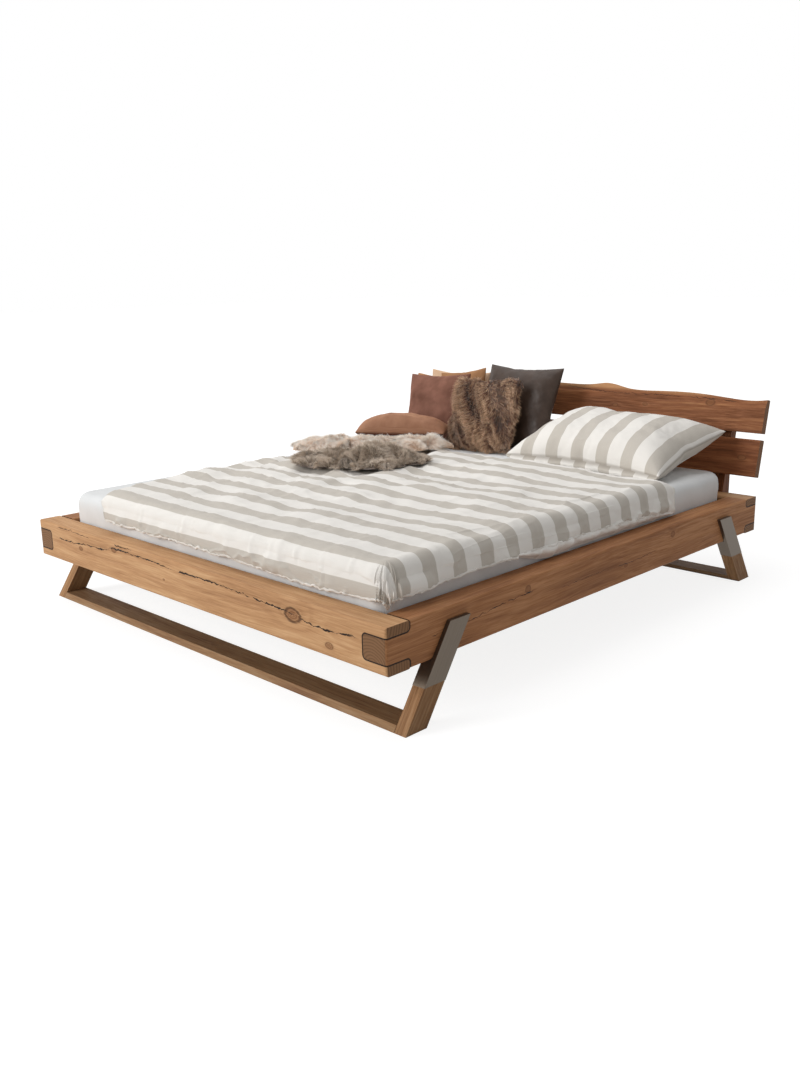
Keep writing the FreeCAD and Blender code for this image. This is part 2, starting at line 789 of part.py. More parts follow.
def duvet_plan():
    """The duvet seen from above, with soft folds along its hanging edges."""
    right, foot, head, top = duvet_limits()
    half = mattress_width / 2
    start = foot + duvet_fold_depth
    left = [(half * a, start + (head - start) * b) for a, b in zip(duvet_left_x_shares, duvet_left_v_shares)]
    low = beam_top

    def at(a, b):
        return V(a, b, low)

    side = right - duvet_fold_depth
    front = foot + duvet_fold_depth
    edges = arc_chain(left[0][0], side, duvet_foot_folds, front, -duvet_fold_depth, at)
    edges += arc_chain(front, head, duvet_right_folds, side, duvet_fold_depth, lambda a, b: V(b, a, low))
    edges.append(Part.LineSegment(V(side, head, low), V(left[-1][0], left[-1][1], low)).toShape())
    edges.append(Part.Arc(at(*left[4]), at(*left[3]), at(*left[2])).toShape())
    edges.append(Part.Arc(at(*left[2]), at(*left[1]), at(*left[0])).toShape())
    return Part.Face(Part.Wire(edges)).extrude(V(0, 0, top + duvet_channel_crown - low))


def channelled_profile(right, foot, head, top):
    """The puffed top from side to side: a row of crowned channels, falling in a round right shoulder."""
    low = beam_top - overrun
    left = -mattress_width / 2
    radius = duvet_shoulder_radius
    turn = radius * (1 - math.sqrt(0.5))

    def at(a, b):
        return V(a, foot - overrun, b)

    edges = arc_chain(left, right - radius, duvet_channels, top, duvet_channel_crown, at)
    edges.append(Part.Arc(at(right - radius, top), at(right - turn, top - turn), at(right, top - radius)).toShape())
    edges.append(Part.LineSegment(at(right, top - radius), at(right, low)).toShape())
    edges.append(Part.LineSegment(at(right, low), at(left, low)).toShape())
    edges.append(Part.LineSegment(at(left, low), at(left, top)).toShape())
    return Part.Face(Part.Wire(edges)).extrude(V(0, head - foot + 2 * overrun, 0))


def foot_shoulder_cutter(right, foot, top):
    """The waste over the duvet's round shoulder at the foot."""
    radius = duvet_shoulder_radius
    turn = radius * (1 - math.sqrt(0.5))
    high = top + duvet_channel_crown
    left = -mattress_width

    def at(a, b):
        return V(left, a, b)

    edges = [Part.Arc(at(foot, high - radius), at(foot + turn, high - turn), at(foot + radius, high)).toShape(),
             Part.LineSegment(at(foot + radius, high), at(foot + radius, high + overrun)).toShape(),
             Part.LineSegment(at(foot + radius, high + overrun), at(foot - overrun, high + overrun)).toShape(),
             Part.LineSegment(at(foot - overrun, high + overrun), at(foot - overrun, high - radius)).toShape(),
             Part.LineSegment(at(foot - overrun, high - radius), at(foot, high - radius)).toShape()]
    return Part.Face(Part.Wire(edges)).extrude(V(right - left + overrun, 0, 0))


def hem_cutter(start, finish, peak_share, lift, place, way):
    """The space under a hanging hem, which rises from the beam to a peak and falls again."""
    low = beam_top - overrun
    rest = beam_top + duvet_hem_floor_gap
    peak = start + (finish - start) * peak_share
    edges = [Part.LineSegment(place(start, low), place(start, rest)).toShape(),
             Part.Arc(place(start, rest), place(peak, rest + lift), place(finish, rest)).toShape(),
             Part.LineSegment(place(finish, rest), place(finish, low)).toShape(),
             Part.LineSegment(place(finish, low), place(start, low)).toShape()]
    return Part.Face(Part.Wire(edges)).extrude(way)


def duvet():
    """The duvet: a puffed top over the mattress, hanging at the right side and the foot."""
    right, foot, head, top = duvet_limits()
    left = -mattress_width / 2
    outer_right = right + duvet_fold_depth
    body = duvet_plan().common(channelled_profile(outer_right, foot, head, top))
    body = body.cut(foot_shoulder_cutter(outer_right, foot, top))
    grow = soft_clearance
    inner_x = mattress_width / 2 + grow
    inner_foot = middle_y - mattress_length / 2 - grow
    clear_top = mattress_top + grow
    hollow = box(left - mattress_width, inner_x, inner_foot, head + mattress_length, 0, clear_top)
    rims = [e for e in hollow.Edges if on_hollow_rim(e, inner_x, inner_foot, clear_top)]
    body = body.cut(hollow.makeFillet(mattress_edge_radius, rims))
    body = body.cut(hem_cutter(foot - overrun, head + overrun, right_hem_peak_share, right_hem_lift,
                               lambda a, b: V(inner_x - mattress_edge_radius, a, b), V(mattress_width, 0, 0)))
    return body.cut(hem_cutter(left, outer_right + overrun, foot_hem_peak_share, foot_hem_lift,
                               lambda a, b: V(a, foot - mattress_edge_radius, b),
                               V(0, mattress_edge_radius + duvet_foot_drop_thickness, 0)))


def on_hollow_rim(edge, inner_x, inner_foot, clear_top):
    """True for the mattress's upper right and upper foot edges."""
    bound = edge.BoundBox
    level = abs(bound.ZMin - clear_top) < soft_clearance and bound.ZLength < soft_clearance
    right = bound.XLength < soft_clearance and abs(bound.XMin - inner_x) < soft_clearance
    foot = bound.YLength < soft_clearance and abs(bound.YMin - inner_foot) < soft_clearance
    return level and (right or foot)


def cushion_ring(width, height, level, scale, bow):
    """One ring of a cushion: four bowed sides between its corners, in short straight steps."""
    half_w = width / 2 * scale
    half_h = height / 2 * scale
    corners = [(-half_w, -half_h), (half_w, -half_h), (half_w, half_h), (-half_w, half_h)]
    bows = [(0, -half_h - bow), (half_w + bow, 0), (0, half_h + bow), (-half_w - bow, 0)]
    points = []
    for index, (x, y) in enumerate(corners):
        far_x, far_y = corners[(index + 1) % len(corners)]
        mid_x, mid_y = bows[index]
        arc = Part.Arc(V(x, y, level), V(mid_x, mid_y, level), V(far_x, far_y, level))
        points.extend(arc.toShape().discretize(cushion_steps + 1)[:-1])
    return Part.makePolygon(points + points[:1])


def cushion(width, height, thickness, pull):
    """A crowned cushion about its middle: width along X, height along Y, crown along Z."""
    rings = [cushion_ring(width, height, thickness / 2 * up, scale, pull * bow)
             for scale, up, bow in zip(ring_scale_shares, ring_height_shares, ring_bow_shares)]
    mirror_rings = [ring.mirror(V(0, 0, 0), V(0, 0, 1)) for ring in rings[:0:-1]]
    return Part.makeLoft(mirror_rings + rings, True, True)


def laid(shape, lean_back_deg, yaw_deg, roll_deg, place):
    """Stands a cushion up, leans and turns it, and puts its middle over the mattress."""
    x, y, z = place
    shape.rotate(V(0, 0, 0), V(0, 0, 1), roll_deg)
    shape.rotate(V(0, 0, 0), V(1, 0, 0), 90 - lean_back_deg)
    shape.rotate(V(0, 0, 0), V(0, 0, 1), yaw_deg)
    shape.translate(V(x, mattress_head_y - y, mattress_top + z))
    return shape


def flat_below(shape, seat):
    """Cuts a soft piece flat where it rests."""
    bound = shape.BoundBox
    floor = seat + soft_clearance
    if bound.ZMin >= floor:
        return shape
    return shape.cut(box(bound.XMin - overrun, bound.XMax + overrun, bound.YMin - overrun, bound.YMax + overrun,
                         bound.ZMin - overrun, floor))


def scatter_cushion(size, pose, place, seat=mattress_top):
    """One scatter cushion in its place."""
    return flat_below(laid(cushion(*size, cushion_pull), *pose, place), seat)


def pillow():
    """The striped pillow, lying with its rear edge raised against the headboard."""
    body = cushion(pillow_width, pillow_depth, pillow_thickness, pillow_pull)
    return flat_below(laid(body, 90 - pillow_tilt_deg, pillow_yaw_deg, 0, pillow_place), mattress_top)


def lobed_ring(half_length, half_width, level, scale):
    """One ring of a fur throw: arcs between lobes of uneven reach."""
    count = len(lobe_radius_shares)
    points = []
    for index in range(2 * count):
        turn = math.pi * index / count
        reach = lobe_radius_shares[index // 2] if index % 2 == 0 else lobe_bulge_share * (
            lobe_radius_shares[index // 2] + lobe_radius_shares[(index // 2 + 1) % count]) / 2
        points.append(V(half_length * scale * reach * math.cos(turn), half_width * scale * reach * math.sin(turn),
                        level))
    outline = []
    for index in range(count):
        start = points[2 * index]
        middle = points[2 * index + 1]
        finish = points[(2 * index + 2) % (2 * count)]
        outline.extend(Part.Arc(start, middle, finish).toShape().discretize(lobe_steps + 1)[:-1])
    return Part.makePolygon(outline + outline[:1])


def throw(size, turn_deg, place):
    """A fur throw: a low lobed heap lying on the duvet."""
    half_length, half_width, height = size
    rings = [lobed_ring(half_length, half_width, height * up, scale)
             for scale, up in zip(lobe_ring_shares, lobe_ring_height_shares)]
    heap = Part.makeLoft(rings, True, True)
    right, foot, head, top = duvet_limits()
    heap.rotate(V(0, 0, 0), V(0, 0, 1), turn_deg)
    across, down = place
    heap.translate(V(across, mattress_head_y - down, top + duvet_channel_crown + throw_rest_gap))
    return heap


def save(node, shapes):
    """Writes one node as STEP and prints its size."""
    solids = []
    for shape in shapes:
        solids.extend(shape.Solids)
    whole = solids[0] if len(solids) == 1 else Part.makeCompound(solids)
    valid = all(one.isValid() and one.Volume > 0 for one in solids)
    whole.exportStep("parts/" + node + ".step")
    bound = whole.BoundBox
    print(node, len(solids), "solids", "valid" if valid else "NOT VALID",
          [round(value, 1) for value in (bound.XMin, bound.XMax, bound.YMin, bound.YMax, bound.ZMin, bound.ZMax)])


def save_frame():
    """Beams, legs, shoes and floor planks."""
    save("foot_beam", [foot_beam()])
    save("head_beam", [head_beam()])
    right = side_beam()
    save("right_side_beam", [right])
    save("left_side_beam", [mirrored(right)])
    save("corner_bolts", four_corners(bolt(corner_bolt_point(), V(0, 0, 1), corner_bolt_length())))
    names = ("front_right", "front_left", "rear_right", "rear_left")
    for name, leg, shoe in zip(names, four_corners(wooden_leg()), four_corners(steel_shoe())):
        save(name + "_leg", [leg])
        save(name + "_shoe", [shoe])
    bar = floor_bar()
    save("front_floor_bar", [bar])
    save("rear_floor_bar", [end_mirrored(bar)])
    fixings = {"bar_dowels": dowels(),
               "shoe_bolts": [bolt(point, V(1, 0, 0), shoe_bolt_length()) for point in shoe_bolt_points()],
               "leg_screws": [screw(point, V(1, 0, 0), leg_screw_length) for point in leg_screw_points()]}
    for name, group in fixings.items():
        save(name, [copy for one in group for copy in four_corners(one)])


def save_headboard():
    """Boards, posts and what fastens them."""
    save("headboard_upper_board", [upper_board()])
    save("headboard_lower_board", [lower_board()])
    right = post()
    save("right_post", [right])
    save("left_post", [mirrored(right)])
    screws = [screw(point, board_normal() * -1, board_screw_length()) for point in board_screw_points()]
    bolts = [bolt(point, V(0, -1, 0), post_bolt_length()) for point in post_bolt_points()]
    nuts = [nut(point) for point in post_bolt_points()]
    for name, group in (("board_screws", screws), ("post_bolts", bolts), ("post_nuts", nuts)):
        save(name, [copy for one in group for copy in (one, mirrored(one))])


def save_base():
    """Ledgers, centre rail and the slatted units."""
    strip = ledger()
    save("right_ledger", [strip])
    save("left_ledger", [mirrored(strip)])
    screws = [screw(point, V(1, 0, 0), ledger_screw_length) for point in ledger_screw_points()]
    save("ledger_screws", [copy for one in screws for copy in (one, mirrored(one))])
    save("centre_rail", [centre_rail()])
    bracket = rail_bracket()
    save("rail_brackets", [bracket, end_mirrored(bracket)])
    screws = [screw(point, V(0, -1, 0), bracket_screw_length) for point in bracket_screw_points()]
    save("bracket_screws", [copy for one in screws for copy in (one, end_mirrored(one))])
    middles = slat_middles()
    groups = {"base_rails": base_rails(), "base_slats": [slat(middle) for middle in middles],
              "slat_holders": [cap for middle in middles for cap in holders(middle)]}
    for name, group in groups.items():
        save("right_" + name, group)
        save("left_" + name, [mirrored(one) for one in group])


def save_bedding():
    """Mattress, sheet, duvet, pillow, cushions and throws."""
    save("mattress_core", [mattress_core()])
    save("fitted_sheet", [fitted_sheet()])
    save("duvet", [duvet()])
    save("striped_pillow", [pillow()])
    save("rose_cushion", [scatter_cushion(rose_size, rose_pose_deg, rose_place)])
    save("taupe_cushion", [scatter_cushion(taupe_size, taupe_pose_deg, taupe_place)])
    save("fur_cushion", [scatter_cushion(fur_size, fur_pose_deg, fur_place)])
    save("beige_cushion", [scatter_cushion(beige_size, beige_pose_deg, beige_place, beam_top)])
    save("gold_cushion", [scatter_cushion(gold_size, gold_pose_deg, gold_place)])
    save("copper_cushion", [scatter_cushion(copper_size, copper_pose_deg, copper_place)])
    save("beige_throw", [throw(beige_throw_size, beige_throw_turn_deg, beige_throw_place)])
    save("brown_throw", [throw(brown_throw_size, brown_throw_turn_deg, brown_throw_place)])


def main():
    """Builds every sub-part of the bed."""
    os.makedirs("parts", exist_ok=True)
    save_frame()
    save_headboard()
    save_base()
    save_bedding()


main()
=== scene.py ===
"""Looks of a rustic oak bed with its bedding, dressed over the fixed model."""
from __future__ import annotations

import logging
import math
from dataclasses import dataclass, field
from enum import Enum

import bpy
import numpy as np
from mathutils import Matrix, Vector


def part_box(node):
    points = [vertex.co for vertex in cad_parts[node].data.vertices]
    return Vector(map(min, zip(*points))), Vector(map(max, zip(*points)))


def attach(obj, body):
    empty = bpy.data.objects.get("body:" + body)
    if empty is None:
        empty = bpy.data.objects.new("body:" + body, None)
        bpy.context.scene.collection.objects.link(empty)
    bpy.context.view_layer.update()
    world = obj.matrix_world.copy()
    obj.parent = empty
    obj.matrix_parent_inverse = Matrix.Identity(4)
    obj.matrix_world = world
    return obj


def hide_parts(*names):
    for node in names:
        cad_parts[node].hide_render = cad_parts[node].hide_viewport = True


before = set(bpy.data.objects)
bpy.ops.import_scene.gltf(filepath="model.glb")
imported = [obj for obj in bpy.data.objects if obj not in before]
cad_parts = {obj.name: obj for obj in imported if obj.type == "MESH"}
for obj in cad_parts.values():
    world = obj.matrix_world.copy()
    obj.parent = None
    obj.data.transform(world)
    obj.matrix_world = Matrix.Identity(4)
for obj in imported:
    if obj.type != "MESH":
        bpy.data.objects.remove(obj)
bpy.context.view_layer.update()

LOG = logging.getLogger("bed")
Socket = bpy.types.NodeSocket
Triple = tuple[float, float, float]

PHOTO_HEIGHT = 1067
FILM_HEIGHT = 36.0
RIGHT_ANGLE = math.pi / 2
FULL_TURN = 2 * math.pi
TINY = 1e-9
CLEARANCE = 0.0006


def linear(code: str) -> tuple[float, float, float, float]:
    """Turns an sRGB hex colour into linear RGBA.

    Args:
        code: colour such as "#C49A6C".

    Returns:
        Four linear channels, opaque.
    """
    parts = [int(code[i:i + 2], 16) / 255 for i in (1, 3, 5)]
    return tuple(p / 12.92 if p <= 0.04045 else ((p + 0.055) / 1.055) ** 2.4 for p in parts) + (1.0,)


def add_node(tree: bpy.types.NodeTree, kind: str, settings: dict | None = None,
             links: dict | None = None) -> bpy.types.Node:
    """Adds a node with its settings, and sets or links its inputs.

    Args:
        tree: node tree that takes the node.
        kind: Blender's node type.
        settings: attribute values.
        links: input name or number to a value or an output socket.

    Returns:
        The new node.
    """
    node = tree.nodes.new(kind)
    for name, value in (settings or {}).items():
        setattr(node, name, value)
    for key, value in (links or {}).items():
        if isinstance(value, Socket):
            tree.links.new(value, node.inputs[key])
        else:
            node.inputs[key].default_value = value
    return node


class Graph:
    """A node tree with short ways to the nodes that the finishes repeat."""

    def __init__(self, tree: bpy.types.NodeTree) -> None:
        """Takes the tree."""
        self.tree = tree

    def math(self, operation: str, *values: Socket | float, clamp: bool = False) -> Socket:
        """Calculates with numbers."""
        return add_node(self.tree, "ShaderNodeMath", {"operation": operation, "use_clamp": clamp},
                        dict(enumerate(values))).outputs[0]

    def off(self, value: Socket, middle: float) -> Socket:
        """How far a value lies from a middle, to either side."""
        return self.math("ABSOLUTE", self.math("SUBTRACT", value, middle))

    def vector(self, operation: str, *values: Socket | Triple) -> Socket:
        """Calculates with vectors; lengths and dot products give a number."""
        node = add_node(self.tree, "ShaderNodeVectorMath", {"operation": operation}, dict(enumerate(values)))
        return node.outputs["Value" if operation in ("LENGTH", "DOT_PRODUCT") else "Vector"]

    def remap(self, value: Socket, low: float = 0.0, high: float = 1.0, first: float = 0.0, last: float = 1.0,
              kind: str = "LINEAR") -> Socket:
        """Maps the range low to high onto first to last and holds it there."""
        return add_node(self.tree, "ShaderNodeMapRange", {"interpolation_type": kind},
                        {"Value": value, "From Min": low, "From Max": high, "To Min": first,
                         "To Max": last}).outputs[0]

    def mix(self, factor: Socket, colour: Socket | str, other: Socket | str) -> Socket:
        """Mixes two colours, each a socket or a hex code."""
        pair = [linear(part) if isinstance(part, str) else part for part in (colour, other)]
        return add_node(self.tree, "ShaderNodeMix", {"data_type": "RGBA"},
                        {"Factor": factor, 6: pair[0], 7: pair[1]}).outputs[2]

    def ramp(self, factor: Socket, *stops: tuple[float, str]) -> Socket:
        """Colours a factor by a row of stops.

        Args:
            factor: input from 0 to 1.
            stops: position and hex code of each stop, in order.

        Returns:
            The colour.
        """
        node = add_node(self.tree, "ShaderNodeValToRGB", None, {"Fac": factor})
        ramp = node.color_ramp
        while len(ramp.elements) < len(stops):
            ramp.elements.new(0.5)
        for element, (place, code) in zip(ramp.elements, stops):
            element.position = place
            element.color = linear(code)
        return node.outputs["Color"]

    def curve(self, value: Socket, stops: list[tuple[float, float]]) -> Socket:
        """Bends a value through a row of stops.

        Args:
            value: input from 0 to 1.
            stops: places on the curve, in order.

        Returns:
            The bent value.
        """
        node = add_node(self.tree, "ShaderNodeFloatCurve", None, {"Value": value})
        points = node.mapping.curves[0].points
        points[0].location, points[1].location = stops[0], stops[-1]
        for stop in stops[1:-1]:
            points.new(*stop)
        node.mapping.update()
        return node.outputs[0]

    def spread(self, place: Socket, scale: Triple, shift: Triple = (0.0, 0.0, 0.0)) -> Socket:
        """Stretches a place to waves per metre and shifts it."""
        return add_node(self.tree, "ShaderNodeMapping", None,
                        {"Vector": place, "Location": shift, "Scale": scale}).outputs["Vector"]

    def turned(self, place: Socket, grain: Grain, kind: str = "POINT") -> Socket:
        """Turns a place or a normal so that X runs along the fibres."""
        return add_node(self.tree, "ShaderNodeMapping", {"vector_type": kind},
                        {"Vector": place, "Rotation": grain.value}).outputs["Vector"]

    def split(self, vector: Socket) -> tuple[Socket, Socket, Socket]:
        """Takes a vector apart."""
        return tuple(add_node(self.tree, "ShaderNodeSeparateXYZ", None, {"Vector": vector}).outputs)

    def noise(self, place: Socket, scale: float = 1.0, detail: float = 2.0, roughness: float = 0.5,
              output: str = "Fac") -> Socket:
        """Draws noise over a place."""
        return add_node(self.tree, "ShaderNodeTexNoise", None,
                        {"Vector": place, "Scale": scale, "Detail": detail,
                         "Roughness": roughness}).outputs[output]

    def line_noise(self, along: Socket, scale: float, detail: float, roughness: float) -> Socket:
        """Draws noise along one line."""
        return add_node(self.tree, "ShaderNodeTexNoise", {"noise_dimensions": "1D"},
                        {"W": self.math("MULTIPLY", along, scale), "Scale": 1.0, "Detail": detail,
                         "Roughness": roughness}).outputs["Fac"]

    def cloth(self) -> Socket:
        """The flat cloth coordinates stored in the mesh."""
        return add_node(self.tree, "ShaderNodeAttribute", {"attribute_name": "cloth"}).outputs["Vector"]

    def finish(self, shader: bpy.types.Node, colour: Socket, height: Socket, strength: float, distance: float,
               **values: float | tuple[float, ...]) -> None:
        """Gives a shader its colour, its relief and its plain values.

        Args:
            shader: the principled shader.
            colour: base colour.
            height: height of the relief.
            strength: strength of the relief.
            distance: depth of the relief in metres.
            values: socket names with underscores for spaces, and their values.
        """
        self.tree.links.new(colour, shader.inputs["Base Color"])
        bump = add_node(self.tree, "ShaderNodeBump", None,
                        {"Height": height, "Strength": strength, "Distance": distance})
        self.tree.links.new(bump.outputs["Normal"], shader.inputs["Normal"])
        for name, value in values.items():
            shader.inputs[name.replace("_", " ")].default_value = value


def new_material(name: str) -> tuple[bpy.types.Material, Graph, bpy.types.Node]:
    """Makes an empty material with a principled shader.

    Args:
        name: the material's name.

    Returns:
        Material, its graph and the shader node.
    """
    material = bpy.data.materials.new(name)
    material.use_nodes = True
    tree = material.node_tree
    tree.nodes.clear()
    shader = add_node(tree, "ShaderNodeBsdfPrincipled")
    add_node(tree, "ShaderNodeOutputMaterial", None, {"Surface": shader.outputs["BSDF"]})
    return material, Graph(tree), shader


def dress(material: bpy.types.Material, *nodes: str | bpy.types.Object) -> None:
    """Gives each object, or node of the model, one material in all its slots."""
    for node in nodes:
        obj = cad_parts[node] if isinstance(node, str) else node
        obj.data.materials.clear()
        obj.data.materials.append(material)


class Grain(Enum):
    """Which way the fibres of a wooden piece run."""

    ALONG_X = (0.0, 0.0, 0.0)
    ALONG_Y = (0.0, 0.0, -RIGHT_ANGLE)
    FRONT_LEG = (math.atan(0.65) - RIGHT_ANGLE, 0.0, -RIGHT_ANGLE)
    REAR_LEG = (-math.atan(0.65) + RIGHT_ANGLE, 0.0, RIGHT_ANGLE)
    UPRIGHT = (0.0, RIGHT_ANGLE, 0.0)


@dataclass(frozen=True)
class Knot:
    """A knot on a board's or beam's face: place along the grain, height, and radius, in metres."""

    along: float
    height: float
    radius: float
    stretch: float = 1.7
    large: float = 0.015

    def gap(self, graph: Graph, along: Socket, height: Socket) -> Socket:
        """Measures how far a place is from the knot's middle.

        Args:
            graph: the material's graph.
            along: place along the grain.
            height: place across the grain.

        Returns:
            The distance in the knot's own radii.
        """
        a = graph.math("DIVIDE", graph.math("SUBTRACT", along, self.along), self.radius * self.stretch)
        b = graph.math("DIVIDE", graph.math("SUBTRACT", height, self.height), self.radius)
        pair = add_node(graph.tree, "ShaderNodeCombineXYZ", None, {0: a, 1: b})
        return graph.vector("LENGTH", pair.outputs[0])

    def pull(self, graph: Graph, along: Socket, height: Socket) -> Socket:
        """Bends the growth rings round the knot.

        Args:
            graph: the material's graph.
            along: place along the grain.
            height: place across the grain.

        Returns:
            Length to add to the ring radius.
        """
        gap = self.gap(graph, along, height)
        fall = graph.math("MULTIPLY_ADD", graph.math("MULTIPLY", gap, gap), 0.30, 1.0)
        return graph.math("DIVIDE", self.radius * 1.5, fall)

    def paint(self, graph: Graph, colour: Socket, along: Socket, height: Socket, fibre: Socket) -> Socket:
        """Paints the knot's own red-brown rings and the dark bark ring about them.

        Args:
            graph: the material's graph.
            colour: colour so far.
            along: place along the grain.
            height: place across the grain.
            fibre: fibre noise, which roughens the knot's edge.

        Returns:
            The new colour.
        """
        uneven = graph.math("SUBTRACT", fibre, 0.5)
        ripple = graph.math("MULTIPLY_ADD", uneven, 0.8, self.gap(graph, along, height))
        inside = graph.remap(ripple, 1.15, 0.85)
        rings = graph.remap(graph.math("PINGPONG", ripple, 0.17), 0.0, 0.17, 0.35, 0.95)
        colour = graph.mix(graph.math("MULTIPLY", inside, rings), colour, "#7A4E2E")
        bark = graph.remap(graph.off(ripple, 1.0), 0.24, 0.04, 0.0, 0.8 if self.radius > self.large else 0.4)
        return graph.mix(bark, colour, "#3E2412")


@dataclass(frozen=True)
class Crack:
    """A drying crack along the grain: places (along, height) in metres, and its widest opening."""

    places: tuple[tuple[float, float], ...]
    width: float
    margin: float = 0.01
    jag: float = 0.012
    fade: float = 0.04

    def mask(self, graph: Graph, along: Socket, height: Socket) -> Socket:
        """Marks the crack, which follows its places and opens and closes along the way.

        Args:
            graph: the material's graph.
            along: place along the grain.
            height: place across the grain.

        Returns:
            Mask from 0 to 1.
        """
        start, finish = self.places[0][0], self.places[-1][0]
        low = min(place[1] for place in self.places) - self.margin
        high = max(place[1] for place in self.places) + self.margin
        share = graph.remap(along, start, finish)
        stops = [((a - start) / (finish - start), (b - low) / (high - low)) for a, b in self.places]
        middle = graph.remap(graph.curve(share, stops), 0.0, 1.0, low, high)
        jagged = graph.math("MULTIPLY_ADD", graph.line_noise(along, 38.0, 2.0, 0.5), self.jag, middle)
        gap = graph.math("ADD", graph.math("SUBTRACT", height, jagged), self.jag / 2)
        opening = graph.remap(graph.line_noise(along, 9.0, 4.0, 0.7), 0.40, 0.64, 0.0001, self.width)
        ends = graph.math("MULTIPLY", graph.remap(share, 0.0, self.fade, kind="SMOOTHSTEP"),
                          graph.remap(share, 1.0, 1.0 - self.fade, kind="SMOOTHSTEP"))
        ratio = graph.math("DIVIDE", graph.math("ABSOLUTE", gap), graph.math("MULTIPLY", opening, ends))
        return graph.math("MULTIPLY", graph.remap(ratio, 1.0, 0.55), ends)


@dataclass(frozen=True)
class FingerJoint:
    """Where the milled fingers of the beams meet, measured on the solids, in metres."""

    inner_x: float
    outer_x: float
    foot_y: float
    head_y: float
    low: float
    high: float
    reach: float
    radius: float = 0.014
    line: float = 0.0016
    beyond: float = 0.05

    def mask(self, graph: Graph, spot: bpy.types.Node) -> Socket:
        """Draws the dark lines round the fingers, on the faces that show them.

        Args:
            graph: the material's graph.
            spot: texture coordinate node.

        Returns:
            Mask from 0 to 1.
        """
        x, y, z = graph.split(spot.outputs["Object"])
        nx, ny, _ = graph.split(spot.outputs["Normal"])
        side = graph.math("ABSOLUTE", x)
        rise = graph.off(z, (self.low + self.high) / 2)
        inward = graph.math("MINIMUM", graph.math("SUBTRACT", y, self.foot_y),
                            graph.math("SUBTRACT", self.head_y, y))
        half = (self.high - self.low) / 2
        lines = []
        for across, facing, (near, far), (low, high) in (
                (side, ny, (self.inner_x, self.outer_x + self.beyond), (-half, half)),
                (inward, nx, (-self.beyond, self.reach), (half, half + 0.1))):
            spans = [graph.math("SUBTRACT", graph.off(value, (a + b) / 2), (b - a) / 2 - self.radius)
                     for value, a, b in ((across, near, far), (rise, low, high))]
            pair = add_node(graph.tree, "ShaderNodeCombineXYZ", None, dict(enumerate(spans)))
            outer = graph.vector("LENGTH", graph.vector("MAXIMUM", pair.outputs[0], (0.0, 0.0, 0.0)))
            inner = graph.math("MINIMUM", graph.math("MAXIMUM", *spans), 0.0)
            gap = graph.off(graph.math("ADD", outer, inner), self.radius)
            line = graph.remap(gap, self.line * 1.9, self.line)
            shown = graph.math("GREATER_THAN", graph.math("ABSOLUTE", facing), 0.6)
            lines.append(graph.math("MULTIPLY", line, shown))
        return graph.math("MAXIMUM", *lines)


